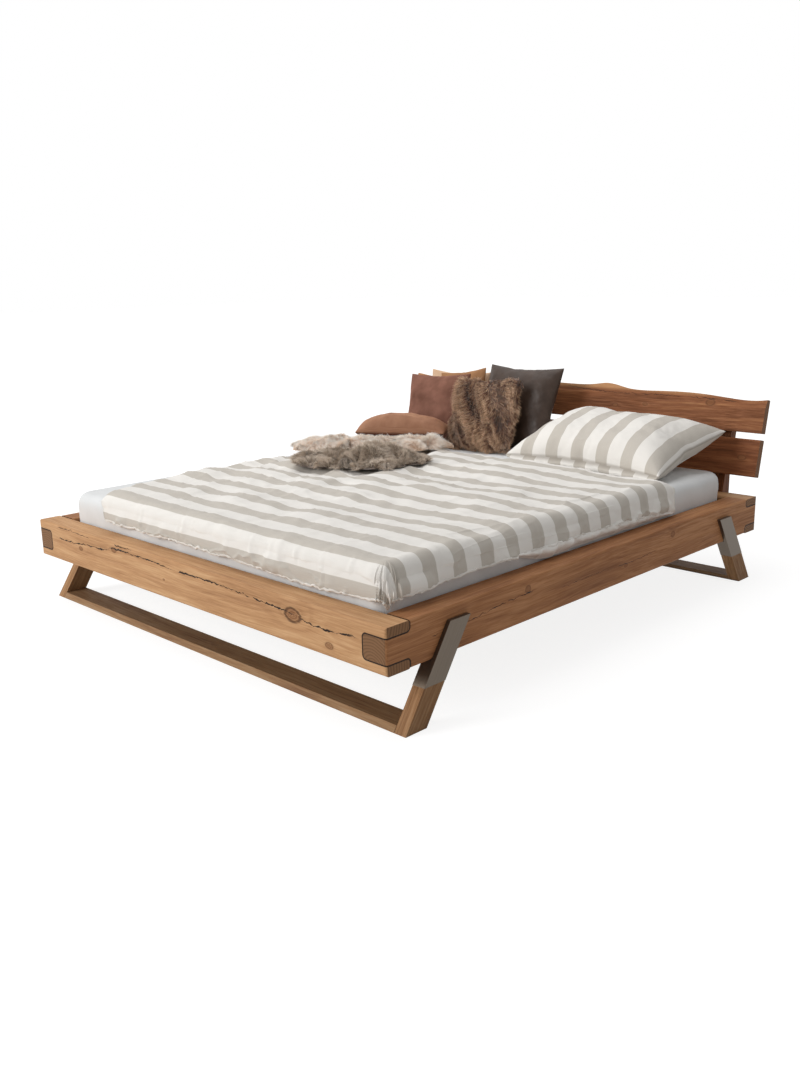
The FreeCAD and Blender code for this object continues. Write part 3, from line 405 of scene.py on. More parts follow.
@dataclass(frozen=True)
class OakFinish:
    """Wild oak, sawn, brushed and oiled: open grain, soft rings, knots and drying cracks, with a matt sheen.

    The tone sums ring, fibre, streak and cloud, so that every piece has broad calm bands with fine dark pores.
    The per-axis face weights paint shade: they darken the faces that look along each axis, as where less light falls,
    and `sapwood` is the pale band under a natural edge.
    """

    name: str
    grain: Grain
    light: str = "#D0A67B"
    mid: str = "#BC8F65"
    dark: str = "#9B704D"
    end: str = "#8A6546"
    ring: float = 0.011
    pith: tuple[float, float] = (0.035, 0.27)
    seed: float = 0.0
    knots: tuple[Knot, ...] = ()
    cracks: tuple[Crack, ...] = ()
    joint: FingerJoint | None = None
    painted_face_shade: Triple = (0.0, 0.0, 0.0)
    sapwood: tuple[float, float] | None = None
    sway: float = 0.075
    sway_mean: float = 0.037

    def build(self) -> bpy.types.Material:
        """Makes the oiled oak.

        Returns:
            The material.
        """
        material, graph, shader = new_material(self.name)
        spot = add_node(graph.tree, "ShaderNodeTexCoord")
        turned = graph.turned(spot.outputs["Object"], self.grain)
        along, _, height = graph.split(turned)
        drift = graph.spread(turned, (0.9, 5.0, 5.0), (self.seed, self.seed, 0.0))
        swayed = graph.vector("MULTIPLY_ADD", graph.noise(drift, 1.0, 3.0, 0.45, "Color"),
                              (0.0, self.sway, self.sway), turned)
        middle = (0.0, -self.pith[0] - self.sway_mean, -self.pith[1] - self.sway_mean)
        radius = graph.vector("LENGTH", graph.vector("MULTIPLY_ADD", swayed, (0.0, 1.0, 1.0), middle))
        for knot in self.knots:
            radius = graph.math("ADD", radius, knot.pull(graph, along, height))
        fraction = graph.math("FRACT", graph.math("DIVIDE", radius, self.ring))
        rings = graph.curve(fraction, [(0.0, 0.5), (0.25, 0.25), (0.6, 0.45), (0.85, 0.85), (1.0, 0.5)])
        fibre = self.stretched(graph, swayed, (9.0, 260.0, 260.0), 5.0, 0.6)
        streak = self.stretched(graph, swayed, (2.2, 46.0, 46.0), 4.0, 0.6)
        cloud = self.stretched(graph, turned, (1.3, 7.0, 7.0), 3.0, 0.5)
        tone: Socket | float = -1.20
        for source, weight in ((rings, 0.20), (fibre, 1.15), (streak, 1.15), (cloud, 0.9)):
            tone = graph.math("MULTIPLY_ADD", source, weight, tone)
        colour = graph.ramp(tone, (0.12, self.light), (0.5, self.mid), (0.95, self.dark))
        relief: Socket | float = 0.0
        for knot in self.knots:
            colour = knot.paint(graph, colour, along, height, fibre)
        for crack in self.cracks:
            opened = crack.mask(graph, along, height)
            colour = graph.mix(opened, colour, "#1C0F08")
            relief = graph.math("MULTIPLY_ADD", opened, -1.0, relief)
        colour = self.end_grain(graph, colour, spot.outputs["Normal"], rings)
        if self.sapwood:
            edge = graph.math("MULTIPLY_ADD", fraction, 0.004, height)
            colour = graph.mix(graph.remap(edge, *self.sapwood, 0.0, 0.6), colour, "#CB9A6C")
        # Painted shade: each face darkens towards dark brown by how far it looks along the weighted axes.
        if any(self.painted_face_shade):
            faces = graph.vector("ABSOLUTE", spot.outputs["Normal"])
            colour = graph.mix(graph.vector("DOT_PRODUCT", faces, self.painted_face_shade), colour, "#2E1C10")
        if self.joint:
            lines = self.joint.mask(graph, spot)
            colour = graph.mix(lines, colour, "#1E120B")
            relief = graph.math("MULTIPLY_ADD", lines, -0.8, relief)
        # Painted shade: ambient occlusion darkens the colour in crevices and corners towards near-black brown.
        painted_crevice_shade = add_node(graph.tree, "ShaderNodeAmbientOcclusion", {"samples": 6}, {"Distance": 0.012})
        colour = graph.mix(graph.remap(painted_crevice_shade.outputs["AO"], 0.15, 0.62), "#2A1A0F", colour)
        graph.tree.links.new(graph.remap(fibre, 0.3, 0.7, 0.5, 0.72), shader.inputs["Roughness"])
        graph.finish(shader, colour, graph.math("MULTIPLY_ADD", fibre, 0.30, relief), 0.5, 0.002,
                     Specular_IOR_Level=0.18)
        return material

    def stretched(self, graph: Graph, place: Socket, waves: Triple, detail: float, roughness: float) -> Socket:
        """Draws noise that is long in the direction of the fibres."""
        return graph.noise(graph.spread(place, waves, (self.seed * 3, self.seed, -self.seed)), 1.0, detail, roughness)

    def end_grain(self, graph: Graph, colour: Socket, normal: Socket, rings: Socket) -> Socket:
        """Paints the darker end grain where a face looks along the fibres."""
        facing = graph.math("ABSOLUTE", graph.split(graph.turned(normal, self.grain, "NORMAL"))[0])
        return graph.mix(graph.remap(facing, 0.8, 0.95), colour, graph.mix(rings, self.end, "#65482F"))


@dataclass(frozen=True)
class BrushedSteelFinish:
    """Stainless steel sheet, ground along the leg: a satin grey with long fine scratches."""

    name: str
    grain: Grain
    base: str = "#695F55"
    scratch: str = "#5F564C"

    def build(self) -> bpy.types.Material:
        """Makes the brushed steel.

        Returns:
            The material.
        """
        material, graph, shader = new_material(self.name)
        spot = add_node(graph.tree, "ShaderNodeTexCoord")
        long_way = graph.spread(graph.turned(spot.outputs["Object"], self.grain), (6.0, 900.0, 900.0))
        scratch = graph.noise(long_way, 1.0, 3.0)
        graph.tree.links.new(graph.remap(scratch, 0.0, 1.0, 0.3, 0.46), shader.inputs["Roughness"])
        graph.finish(shader, graph.ramp(scratch, (0.3, self.scratch), (0.7, self.base)), scratch, 0.15, 0.0004,
                     Metallic=1.0)
        return material


@dataclass(frozen=True)
class PlainFinish:
    """A hidden or small piece with one lightly mottled surface: zinc, powder coat, rubber or planed beech."""

    name: str
    tone: str
    second: str
    roughness: float
    metallic: float = 0.0
    waves: Triple = (60.0, 60.0, 60.0)

    def build(self) -> bpy.types.Material:
        """Makes the mottled surface.

        Returns:
            The material.
        """
        material, graph, shader = new_material(self.name)
        spot = add_node(graph.tree, "ShaderNodeTexCoord")
        mottle = graph.noise(graph.spread(spot.outputs["Object"], self.waves), 1.0, 3.0)
        graph.finish(shader, graph.ramp(mottle, (0.3, self.tone), (0.7, self.second)), mottle, 0.2, 0.0005,
                     Metallic=self.metallic, Roughness=self.roughness)
        return material


@dataclass
class Studio:
    """Floor, soft lights and the camera."""

    middle_y: float
    camera_place: Triple = (2.884107, -2.94568, 1.275403)
    yaw: float = 0.7802
    pitch: float = 0.2485
    roll: float = -0.0203
    focal_px: float = 1019.223
    floor_half: float = 40.0
    surround: float = 0.34
    aim: Triple = (0.0, 0.0, 0.35)

    def camera(self) -> None:
        """Sets up the camera at the photograph's viewing angle."""
        data = bpy.data.cameras.new("camera")
        data.sensor_fit = "VERTICAL"
        data.sensor_height = FILM_HEIGHT
        data.lens = self.focal_px / PHOTO_HEIGHT * FILM_HEIGHT
        data.clip_start, data.clip_end = 0.05, 60.0
        obj = bpy.data.objects.new("camera", data)
        bpy.context.scene.collection.objects.link(obj)
        look = Vector((-math.sin(self.yaw) * math.cos(self.pitch), math.cos(self.yaw) * math.cos(self.pitch),
                       -math.sin(self.pitch)))
        right = look.cross(Vector((0, 0, 1))).normalized()
        up = right.cross(look)
        side = right * math.cos(self.roll) + up * math.sin(self.roll)
        top = up * math.cos(self.roll) - right * math.sin(self.roll)
        x, y, z = self.camera_place
        turn = Matrix((side, top, -look)).transposed().to_4x4()
        obj.matrix_world = Matrix.Translation((x, y + self.middle_y, z)) @ turn
        bpy.context.scene.camera = obj

    def lights(self) -> None:
        """Hangs the soft boxes and sets the even surrounding light."""
        for name, place, size, energy in (("key", (-4.6, -9.4, 4.4), 4.4, 640.0),
                                          ("fill", (4.5, -1.5, 3.4), 3.5, 4.0),
                                          ("top", (-0.8, 0.2, 4.5), 3.6, 90.0)):
            data = bpy.data.lights.new(name, "AREA")
            data.size, data.energy = size, energy
            obj = bpy.data.objects.new(name, data)
            bpy.context.scene.collection.objects.link(obj)
            obj.location = place
            obj.rotation_euler = (Vector(self.aim) - Vector(place)).to_track_quat("-Z", "Y").to_euler()
        world = bpy.data.worlds.new("studio")
        bpy.context.scene.world = world
        world.use_nodes = True
        graph = Graph(world.node_tree)
        graph.tree.nodes.clear()
        level = graph.remap(self.seen(graph), 0.0, 1.0, self.surround, 1.0)
        back = add_node(graph.tree, "ShaderNodeBackground", None, {"Color": linear("#FFFFFF"), "Strength": level})
        add_node(graph.tree, "ShaderNodeOutputWorld", None, {"Surface": back.outputs[0]})

    def seen(self, graph: Graph) -> Socket:
        """Tells whether a ray shows the background: straight, mirrored or through glass.

        Args:
            graph: the graph.

        Returns:
            Number that is 1 for such rays and 0 for the rest.
        """
        path = add_node(graph.tree, "ShaderNodeLightPath")
        first = graph.math("MAXIMUM", path.outputs["Is Camera Ray"], path.outputs["Is Glossy Ray"])
        return graph.math("MAXIMUM", first, path.outputs["Is Transmission Ray"])

    def floor(self) -> None:
        """Lays the pale floor, which keeps a soft shadow and fades into the white background."""
        mesh = bpy.data.meshes.new("floor")
        half = self.floor_half
        mesh.from_pydata([(-half, -half, 0), (half, -half, 0), (half, half, 0), (-half, half, 0)], [],
                         [(0, 1, 2, 3)])
        obj = bpy.data.objects.new("floor", mesh)
        bpy.context.scene.collection.objects.link(obj)
        material, graph, shader = new_material("pale_studio_floor")
        shader.inputs["Base Color"].default_value = linear("#F0EFED")
        shader.inputs["Roughness"].default_value = 0.95
        shader.inputs["Specular IOR Level"].default_value = 0.0
        veil = add_node(graph.tree, "ShaderNodeBsdfDiffuse", None, {"Color": (0.30, 0.30, 0.30, 1.0)})
        spot = add_node(graph.tree, "ShaderNodeTexCoord")
        glow = graph.remap(graph.vector("LENGTH", spot.outputs["Object"]), 1.3, 3.2, 0.84, 1.0, "SMOOTHSTEP")
        white = add_node(graph.tree, "ShaderNodeEmission", None, {"Color": linear("#FFFFFF"), "Strength": glow})
        lit = add_node(graph.tree, "ShaderNodeAddShader", None, {0: veil.outputs[0], 1: white.outputs[0]})
        mixed = add_node(graph.tree, "ShaderNodeMixShader", None,
                         {0: self.seen(graph), 1: shader.outputs["BSDF"], 2: lit.outputs[0]})
        sink = next(node for node in graph.tree.nodes if node.type == "OUTPUT_MATERIAL")
        graph.tree.links.new(mixed.outputs[0], sink.inputs["Surface"])
        dress(material, obj)


def bed_middle() -> float:
    """The middle of the bed along its length."""
    return (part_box("foot_beam")[0][1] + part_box("head_beam")[1][1]) / 2


@dataclass
class BedFrame:
    """Beams, sled legs, steel shoes and what fastens them."""

    bevel: float = 0.0016
    sheet_bevel: float = 0.0008
    finger: float = 0.033

    def soften(self, node: str, width: float) -> None:
        """Breaks the sharp edges of a solid with a small chamfer.

        Args:
            node: the solid's name.
            width: size of the chamfer in metres.
        """
        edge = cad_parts[node].modifiers.new("broken_edges", "BEVEL")
        edge.width = width
        edge.segments = 2
        edge.limit_method = "ANGLE"
        edge.angle_limit = math.radians(40)
        edge.use_clamp_overlap = True

    def build(self) -> None:
        """Dresses all the frame's solids."""
        (_, foot_y, low_z), (high_x, beam_y, high_z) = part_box("foot_beam")
        joint = FingerJoint(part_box("right_side_beam")[0][0], high_x, foot_y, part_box("head_beam")[1][1],
                            low_z + self.finger, high_z - self.finger, beam_y - foot_y)
        self.cross_beams(joint)
        self.side_beams(joint)
        for name in ("foot_beam", "head_beam", "left_side_beam", "right_side_beam"):
            self.soften(name, self.bevel)
        self.legs()
        zinc = PlainFinish("zinc_plated_steel", "#A9ABAC", "#8F9294", 0.35, 1.0).build()
        dress(zinc, "corner_bolts", "shoe_bolts", "leg_screws")
        dress(PlainFinish("planed_beech_dowels", "#CDAE84", "#B9976B", 0.6).build(), "bar_dowels")
        LOG.info("frame: beams, legs, shoes and fasteners dressed")

    def cross_beams(self, joint: FingerJoint) -> None:
        """Dresses the foot beam, with its long crack and eye knot, and the head beam.

        Args:
            joint: the finger joint's sizes.
        """
        cracks = (Crack(((-0.905, 0.291), (-0.764, 0.287), (-0.66, 0.294), (-0.58, 0.298), (-0.494, 0.300),
                         (-0.425, 0.318), (-0.299, 0.317), (-0.162, 0.316), (-0.04, 0.308), (0.108, 0.311),
                         (0.282, 0.308), (0.405, 0.303), (0.534, 0.297), (0.596, 0.294), (0.667, 0.281),
                         (0.772, 0.277), (0.828, 0.283), (0.91, 0.288)), 0.0050),
                  Crack(((-0.86, 0.329), (-0.78, 0.333), (-0.68, 0.330), (-0.6, 0.325)), 0.0026),
                  Crack(((-0.42, 0.334), (-0.36, 0.331), (-0.3, 0.333)), 0.0030))
        knots = (Knot(0.6, 0.289, 0.021), Knot(-0.674, 0.274, 0.008), Knot(0.763, 0.231, 0.010),
                 Knot(-0.425, 0.312, 0.010), Knot(-0.1, 0.262, 0.004))
        dress(OakFinish("oiled_wild_oak_foot", Grain.ALONG_X, seed=0.7, cracks=cracks, joint=joint,
                        knots=knots).build(), "foot_beam")
        head_crack = Crack(((-0.8, 0.27), (-0.2, 0.262), (0.4, 0.27), (0.8, 0.266)), 0.003)
        dress(OakFinish("oiled_wild_oak_head", Grain.ALONG_X, seed=3.1, joint=joint, pith=(1.0, 0.25),
                        cracks=(head_crack,)).build(), "head_beam")

    def side_beams(self, joint: FingerJoint) -> None:
        """Dresses the two long beams in a deeper oak.

        Args:
            joint: the finger joint's sizes.
        """
        mid = bed_middle()
        cracks = tuple(Crack(tuple((a + mid, b) for a, b in places), width) for places, width in (
            (((-0.93, 0.268), (-0.75, 0.272), (-0.6, 0.285), (-0.42, 0.291)), 0.0028),
            (((-0.3, 0.262), (-0.1, 0.268), (0.1, 0.262), (0.32, 0.272)), 0.0016)))
        knots = (Knot(mid - 0.47, 0.302, 0.012, 1.1), Knot(mid + 0.42, 0.308, 0.011, 1.2),
                 Knot(mid + 0.1, 0.255, 0.006))
        for side, seed, pith_x in (("right", 1.9, -0.93), ("left", 5.3, 0.96)):
            dress(OakFinish("oiled_wild_oak_" + side, Grain.ALONG_Y, light="#B58259", mid="#9D6B45",
                            dark="#7C5133", seed=seed, joint=joint, pith=(pith_x, 0.215), cracks=cracks,
                            knots=knots).build(), side + "_side_beam")

    def legs(self) -> None:
        """Dresses floor bars, legs and the steel shoes."""
        # The floor bars get painted shade: tops darker, as in the bed's shadow, and ends a little darker.
        bar = OakFinish("oiled_oak_floor_bar", Grain.ALONG_X, light="#D2AC84", mid="#BC9268", dark="#94694A",
                        seed=8.2, pith=(-1.0, -0.05), painted_face_shade=(0.3, 0.0, 0.62)).build()
        for end, grain, seed in (("front", Grain.FRONT_LEG, 4.4), ("rear", Grain.REAR_LEG, 6.6)):
            dress(bar, end + "_floor_bar")
            self.soften(end + "_floor_bar", self.bevel)
            # The legs get painted shade: sides darker than the front, as turned from the light, and tops a little
            # darker.
            wood = OakFinish("oiled_oak_" + end + "_leg", grain, light="#C49A70", mid="#A67B53", dark="#7C5433",
                             seed=seed, pith=(0.05, 0.02), painted_face_shade=(0.42, 0.0, 0.2)).build()
            steel = BrushedSteelFinish("brushed_stainless_" + end + "_shoe", grain).build()
            for side in ("left", "right"):
                dress(wood, f"{end}_{side}_leg")
                dress(steel, f"{end}_{side}_shoe")
                self.soften(f"{end}_{side}_shoe", self.sheet_bevel)


@dataclass
class Headboard:
    """Two boards with a natural edge on posts."""

    end: str = "#7A5030"

    def build(self) -> None:
        """Dresses boards, posts, screws and bolts."""
        grain_line = Crack(((-0.9, 0.745), (-0.5, 0.735), (-0.1, 0.742), (0.3, 0.728), (0.6, 0.732),
                            (0.9, 0.722)), 0.0022)
        dress(OakFinish("oiled_oak_natural_edge_board", Grain.ALONG_X, light="#A8744B", mid="#875434",
                        dark="#5A3319", end=self.end, seed=2.3, pith=(1.2, 0.72), sapwood=(0.738, 0.752),
                        cracks=(grain_line,),
                        knots=(Knot(0.278, 0.671, 0.008), Knot(0.434, 0.686, 0.007), Knot(0.75, 0.715, 0.012),
                               Knot(0.6, 0.63, 0.008))).build(), "headboard_upper_board")
        dress(OakFinish("oiled_oak_lower_board", Grain.ALONG_X, light="#98633E", mid="#7B482A", dark="#4F2B13",
                        end=self.end, seed=9.4, pith=(1.15, 0.47),
                        knots=(Knot(0.93, 0.5, 0.01), Knot(0.5, 0.52, 0.012))).build(),
              "headboard_lower_board")
        dress(OakFinish("oiled_oak_post", Grain.UPRIGHT, light="#8E5C39", mid="#764728", dark="#4E2D18",
                        seed=1.2).build(), "left_post", "right_post")
        dress(bpy.data.materials["zinc_plated_steel"], "board_screws", "post_bolts", "post_nuts")
        LOG.info("headboard: boards, posts and fasteners dressed")


@dataclass
class SlattedBase:
    """Ledgers, centre rail and the two slatted units."""

    def build(self) -> None:
        """Dresses the hidden pieces of the base."""
        dress(PlainFinish("planed_beech", "#D3B68D", "#BF9D70", 0.6).build(),
              "left_ledger", "right_ledger", "left_base_rails", "right_base_rails")
        dress(PlainFinish("laminated_beech_slats", "#D8BE97", "#C7A87C", 0.55, 0.0, (4.0, 90.0, 90.0)).build(),
              "left_base_slats", "right_base_slats")
        dress(PlainFinish("moulded_rubber_holders", "#1E1E1E", "#2A2A2A", 0.7).build(),
              "left_slat_holders", "right_slat_holders")
        dress(PlainFinish("powder_coated_steel", "#2B2B2C", "#343436", 0.55).build(),
              "centre_rail", "rail_brackets")
        dress(bpy.data.materials["zinc_plated_steel"], "ledger_screws", "bracket_screws")
        LOG.info("base: slats, rails and ledgers dressed")


class Noise:
    """Smooth noise on a lattice, the same on every run."""

    def __init__(self, seed: int) -> None:
        """Fills the lattice.

        Args:
            seed: seed of the random numbers.
        """
        source = np.random.RandomState(seed)
        self.values = source.rand(256) * 2 - 1
        self.order = source.permutation(256)

    def at(self, x: np.ndarray, y: np.ndarray) -> np.ndarray:
        """Noise from -1 to 1.

        Args:
            x: first coordinate, one unit per lattice step.
            y: second coordinate.

        Returns:
            The noise at every point.
        """
        left, low = np.floor(x).astype(int), np.floor(y).astype(int)
        fx, fy = (part * part * part * (part * (part * 6 - 15) + 10) for part in (x - left, y - low))

        def corner(i: np.ndarray, j: np.ndarray) -> np.ndarray:
            """Value at a lattice point."""
            return self.values[self.order[(self.order[i & 255] + j) & 255]]

        below = corner(left, low) * (1 - fx) + corner(left + 1, low) * fx
        above = corner(left, low + 1) * (1 - fx) + corner(left + 1, low + 1) * fx
        return below * (1 - fy) + above * fy

    def layers(self, x: np.ndarray, y: np.ndarray, count: int = 4, gain: float = 0.5) -> np.ndarray:
        """Several octaves of the noise.

        Args:
            x: first coordinate.
            y: second coordinate.
            count: number of octaves.
            gain: strength of each octave against the one before.

        Returns:
            The summed noise.
        """
        total = np.zeros_like(x)
        for step in range(count):
            total += gain ** step * self.at(x * 2 ** step + 17.3 * step, y * 2 ** step - 9.1 * step)
        return total

    def creases(self, x: np.ndarray, y: np.ndarray, sharp: float = 2.0) -> np.ndarray:
        """Thin raised folds along the noise's zero lines, from 0 to 1."""
        return (1 - np.minimum(np.abs(self.layers(x, y, 3, 0.45)) * sharp, 1)) ** 2


def mesh_object(name: str, points: np.ndarray, faces: np.ndarray, cloth: np.ndarray) -> bpy.types.Object:
    """Makes a smooth mesh object.

    Args:
        name: the object's name.
        points: rows of x, y, z in metres.
        faces: rows of point numbers.
        cloth: flat cloth coordinates of each point, stored for the material.

    Returns:
        The new object.
    """
    mesh = bpy.data.meshes.new(name)
    mesh.from_pydata(np.asarray(points).tolist(), [], np.asarray(faces).tolist())
    mesh.polygons.foreach_set("use_smooth", np.ones(len(mesh.polygons), dtype=bool))
    layer = mesh.attributes.new("cloth", "FLOAT_VECTOR", "POINT")
    layer.data.foreach_set("vector", np.asarray(cloth, dtype=np.float32).ravel())
    mesh.update()
    obj = bpy.data.objects.new(name, mesh)
    bpy.context.scene.collection.objects.link(obj)
    return obj


def read_rows(source: bpy.types.bpy_prop_collection, name: str) -> np.ndarray:
    """Reads three numbers of each item of a mesh.

    Args:
        source: the mesh's items.
        name: what to read.

    Returns:
        One row per item.
    """
    flat = np.empty(len(source) * 3, dtype=np.float32)
    source.foreach_get(name, flat)
    return flat.reshape(-1, 3).astype(float)


def write_points(mesh: bpy.types.Mesh, points: np.ndarray) -> None:
    """Puts points back into the mesh."""
    mesh.vertices.foreach_set("co", np.asarray(points, dtype=np.float32).ravel())
    mesh.update()


def freeze(obj: bpy.types.Object) -> None:
    """Bakes an object's modifiers into its mesh.

    Args:
        obj: the object.
    """
    graph = bpy.context.evaluated_depsgraph_get()
    mesh = bpy.data.meshes.new_from_object(obj.evaluated_get(graph), preserve_all_data_layers=True,
                                           depsgraph=graph)
    obj.modifiers.clear()
    obj.data = mesh


def refine(obj: bpy.types.Object) -> None:
    """Adds one level of subdivision for good.

    Args:
        obj: the object.
    """
    step = obj.modifiers.new("refine", "SUBSURF")
    step.levels = step.render_levels = 1
    freeze(obj)


def grid_faces(n: np.ndarray, flip: bool = False) -> np.ndarray:
    """Faces over a grid of point numbers."""
    rows = np.stack([n[:-1, :-1], n[1:, :-1], n[1:, 1:], n[:-1, 1:]], axis=-1).reshape(-1, 4)
    return rows[:, ::-1] if flip else rows


def ring_faces(n: np.ndarray) -> np.ndarray:
    """Faces over rings of point numbers that close on themselves."""
    ahead = np.roll(n, -1, axis=1)
    return np.stack([n[:-1], n[1:], ahead[1:], ahead[:-1]], axis=-1).reshape(-1, 4)


def run_along(path: np.ndarray) -> np.ndarray:
    """Length along a path up to each of its points."""
    return np.concatenate([[0], np.cumsum(np.linalg.norm(np.diff(path, axis=0), axis=1))])


class Weave(Enum):
    """What a cloth feels like: roughness, sheen, threads per metre and thread relief."""

    COTTON = (0.85, 0.15, 900.0, 0.10)
    VELVET = (0.75, 0.9, 500.0, 0.18)
    SATIN = (0.42, 0.25, 1100.0, 0.08)


@dataclass(frozen=True)
class ClothFinish:
    """Woven cloth in one colour: cotton, pile velvet or satin, with a fine thread relief.

    `under` is painted shade on the back panel: a darker colour there than on the front, as where it lies in shade
    underneath.
    """

    name: str
    tone: str
    shade: str
    weave: Weave
    under: str | None = None

    def build(self) -> bpy.types.Material:
        """Makes the cloth.

        Returns:
            The material.
        """
        rough, sheen, threads, relief = self.weave.value
        material, graph, shader = new_material(self.name)
        place = graph.cloth()
        colour = graph.ramp(graph.noise(place, 9.0, 4.0, 0.55), (0.32, self.shade), (0.62, self.tone))
        # Painted shade: the back panel darkens towards the under colour.
        if self.under:
            colour = graph.mix(graph.remap(graph.split(place)[2], 0.15, -0.25), colour, self.under)
        graph.finish(shader, colour, graph.noise(place, threads), relief, 0.001, Roughness=rough,
                     Sheen_Weight=sheen, Sheen_Roughness=0.45, Sheen_Tint=linear(self.tone),
                     Specular_IOR_Level=0.25)
        return material


@dataclass(frozen=True)
class StripeFinish:
    """Washed cotton with woven stripes: off-white and greige bands with slubby threads.

    The bands run across the cloth axis `across`. `under_shift` moves them on the back panel, and with it the
    seam between the panels shows as a stitched line.
    """

    name: str
    across: int
    period: float = 0.131
    dark_share: float = 0.47
    start: float = 0.0
    under_shift: float = 0.0
    light: str = "#ECE8E2"
    dark: str = "#C5BEB4"
    edge: float = 0.008
    slub: float = 0.12

    def build(self) -> bpy.types.Material:
        """Makes the striped cotton.

        Returns:
            The material.
        """
        material, graph, shader = new_material(self.name)
        place = graph.cloth()
        parts = graph.split(place)
        under = graph.math("LESS_THAN", parts[2], -0.02)
        shifted = graph.math("MULTIPLY_ADD", under, self.under_shift, parts[self.across])
        turns = graph.math("MULTIPLY_ADD", shifted, 1 / self.period, 40 - self.start / self.period)
        gap, half = graph.off(graph.math("FRACT", turns), 0.5), self.dark_share / 2
        mask = graph.remap(gap, half - self.edge, half + self.edge, 1.0, 0.0)
        long_way = graph.spread(place, (30.0, 700.0, 30.0) if self.across == 1 else (700.0, 30.0, 30.0))
        threads = graph.remap(graph.noise(long_way), 0.3, 0.7, -self.slub, self.slub)
        worn = graph.math("MULTIPLY_ADD", mask, threads, mask, clamp=True)
        colour = graph.mix(worn, self.light, self.dark)
        if self.under_shift:
            stitched = graph.remap(graph.math("ABSOLUTE", parts[2]), 0.12, 0.55, 0.55, 0.0)
            colour = graph.mix(stitched, colour, "#8C8276")
        graph.finish(shader, colour, graph.noise(place, 800.0), 0.12, 0.001, Roughness=0.82, Sheen_Weight=0.12,
                     Specular_IOR_Level=0.25)
        return material


@dataclass(frozen=True)
class FurFinish:
    """Long pile: dark at the root, paler at the tip, each lock a little different."""

    name: str
    root: str
    middle: str
    tip: str

    def build(self) -> bpy.types.Material:
        """Makes the pile.

        Returns:
            The material.
        """
        material, graph, shader = new_material(self.name)
        step, lock, _ = graph.split(graph.cloth())
        varied = graph.math("MULTIPLY_ADD", lock, 0.35, step, clamp=True)
        graph.tree.links.new(graph.ramp(varied, (0.05, self.root), (0.5, self.middle), (1.0, self.tip)),
                             shader.inputs["Base Color"])
        for name, value in (("Roughness", 0.6), ("Sheen Weight", 0.5), ("Specular IOR Level", 0.3)):
            shader.inputs[name].default_value = value
        return material


@dataclass
class Pile:
    """Long fur rooted all over a body, as tapered curved locks."""

    count: int
    length: float
    width: float
    seed: int
    comb: Triple = (0.0, 0.0, -0.2)
    swirl: float = 0.6
    upright: float = 0.8
    waves: float = 22.0
    above: float = 0.004
    underside: float = -0.75
    steps: tuple[float, ...] = (0.0, 0.35, 0.7, 1.0)
    taper: tuple[float, ...] = (1.0, 0.9, 0.6, 0.08)

    def roots(self, skin: bpy.types.Object, floor: float, source: np.random.RandomState
              ) -> tuple[np.ndarray, np.ndarray]:
        """Picks the places where the locks grow.

        Args:
            skin: object that carries the fur.
            floor: height that no hair goes under.
            source: random numbers.

        Returns:
            Points and normals of the roots.
        """
        mesh = skin.data
        mesh.calc_loop_triangles()
        corners = np.empty(len(mesh.loop_triangles) * 3, dtype=np.int32)
        mesh.loop_triangles.foreach_get("vertices", corners)
        corners = corners.reshape(-1, 3)
        points, normals = read_rows(mesh.vertices, "co"), read_rows(mesh.vertex_normals, "vector")
        a, b, c = (points[corners[:, i]] for i in range(3))
        area = np.linalg.norm(np.cross(b - a, c - a), axis=1)
        pick = source.choice(len(corners), self.count, p=area / area.sum())
        s, t = source.rand(2, self.count)
        flip = s + t > 1
        s[flip], t[flip] = 1 - s[flip], 1 - t[flip]
        mix = np.stack([1 - s - t, s, t], axis=1)[:, :, None]
        root, normal = ((rows[corners[pick]] * mix).sum(axis=1) for rows in (points, normals))
        normal /= np.linalg.norm(normal, axis=1)[:, None] + TINY
        keep = (root[:, 2] > floor + self.above) & (normal[:, 2] > self.underside)
        return root[keep], normal[keep]

    def grow(self, skin: bpy.types.Object, name: str, floor: float) -> bpy.types.Object:
        """Grows the locks on a body.

        Args:
            skin: object that carries the fur.
            name: the fur's name.
            floor: height that no hair goes under.

        Returns:
            The fur object.
        """
        source = np.random.RandomState(self.seed)
        root, normal = self.roots(skin, floor, source)
        total = len(root)
        noise = [Noise(self.seed + k) for k in range(1, 6)]
        px = (root[:, 0] + 0.7 * root[:, 2]) * self.waves
        py = (root[:, 1] - 0.6 * root[:, 2]) * self.waves
        wander = np.stack([noise[0].layers(px, py, 3, 0.6), noise[1].layers(px, py, 3, 0.6),
                           noise[2].layers(px, py, 2, 0.6) * 0.6], axis=1)
        fine = source.normal(size=(total, 3)) * 0.16
        aim = normal * self.upright + np.array(self.comb) + wander * self.swirl + fine
        aim -= normal * np.minimum((aim * normal).sum(axis=1) - 0.12, 0)[:, None]
        aim /= np.linalg.norm(aim, axis=1)[:, None]
        reach = self.length * (0.72 + 0.28 * source.rand(total)) * (0.85 + 0.25 * noise[3].at(px / 3, py / 3))
        bend = np.array([0.0, 0.0, -0.28]) + wander * 0.35 + source.normal(size=(total, 3)) * 0.1
        side = np.cross(aim, source.normal(size=(total, 3)))
        side /= np.linalg.norm(side, axis=1)[:, None] + TINY
        lock = noise[4].at(px * 1.7, py * 1.7) * 0.5 + source.normal(size=total) * 0.28
        rows, marks = [], []
        for step, half in zip(np.array(self.steps), np.array(self.taper) * self.width / 2):
            middle = root + aim * (reach * step)[:, None] + bend * (reach * step * step)[:, None]
            for sign in (-1, 1):
                rows.append(middle + sign * side * half)
                marks.append(np.stack([np.full(total, step), lock, np.zeros(total)], axis=1))
        hair = np.stack(rows, axis=1)
        hair[:, :, 2] = np.maximum(hair[:, :, 2], floor + 0.0008)
        base = (np.arange(total) * len(rows))[:, None]
        faces = np.concatenate([base + np.array([[k, k + 1, k + 3, k + 2]]) for k in (0, 2, 4)])
        return mesh_object(name, hair.reshape(-1, 3), faces, np.stack(marks, axis=1).reshape(-1, 3))


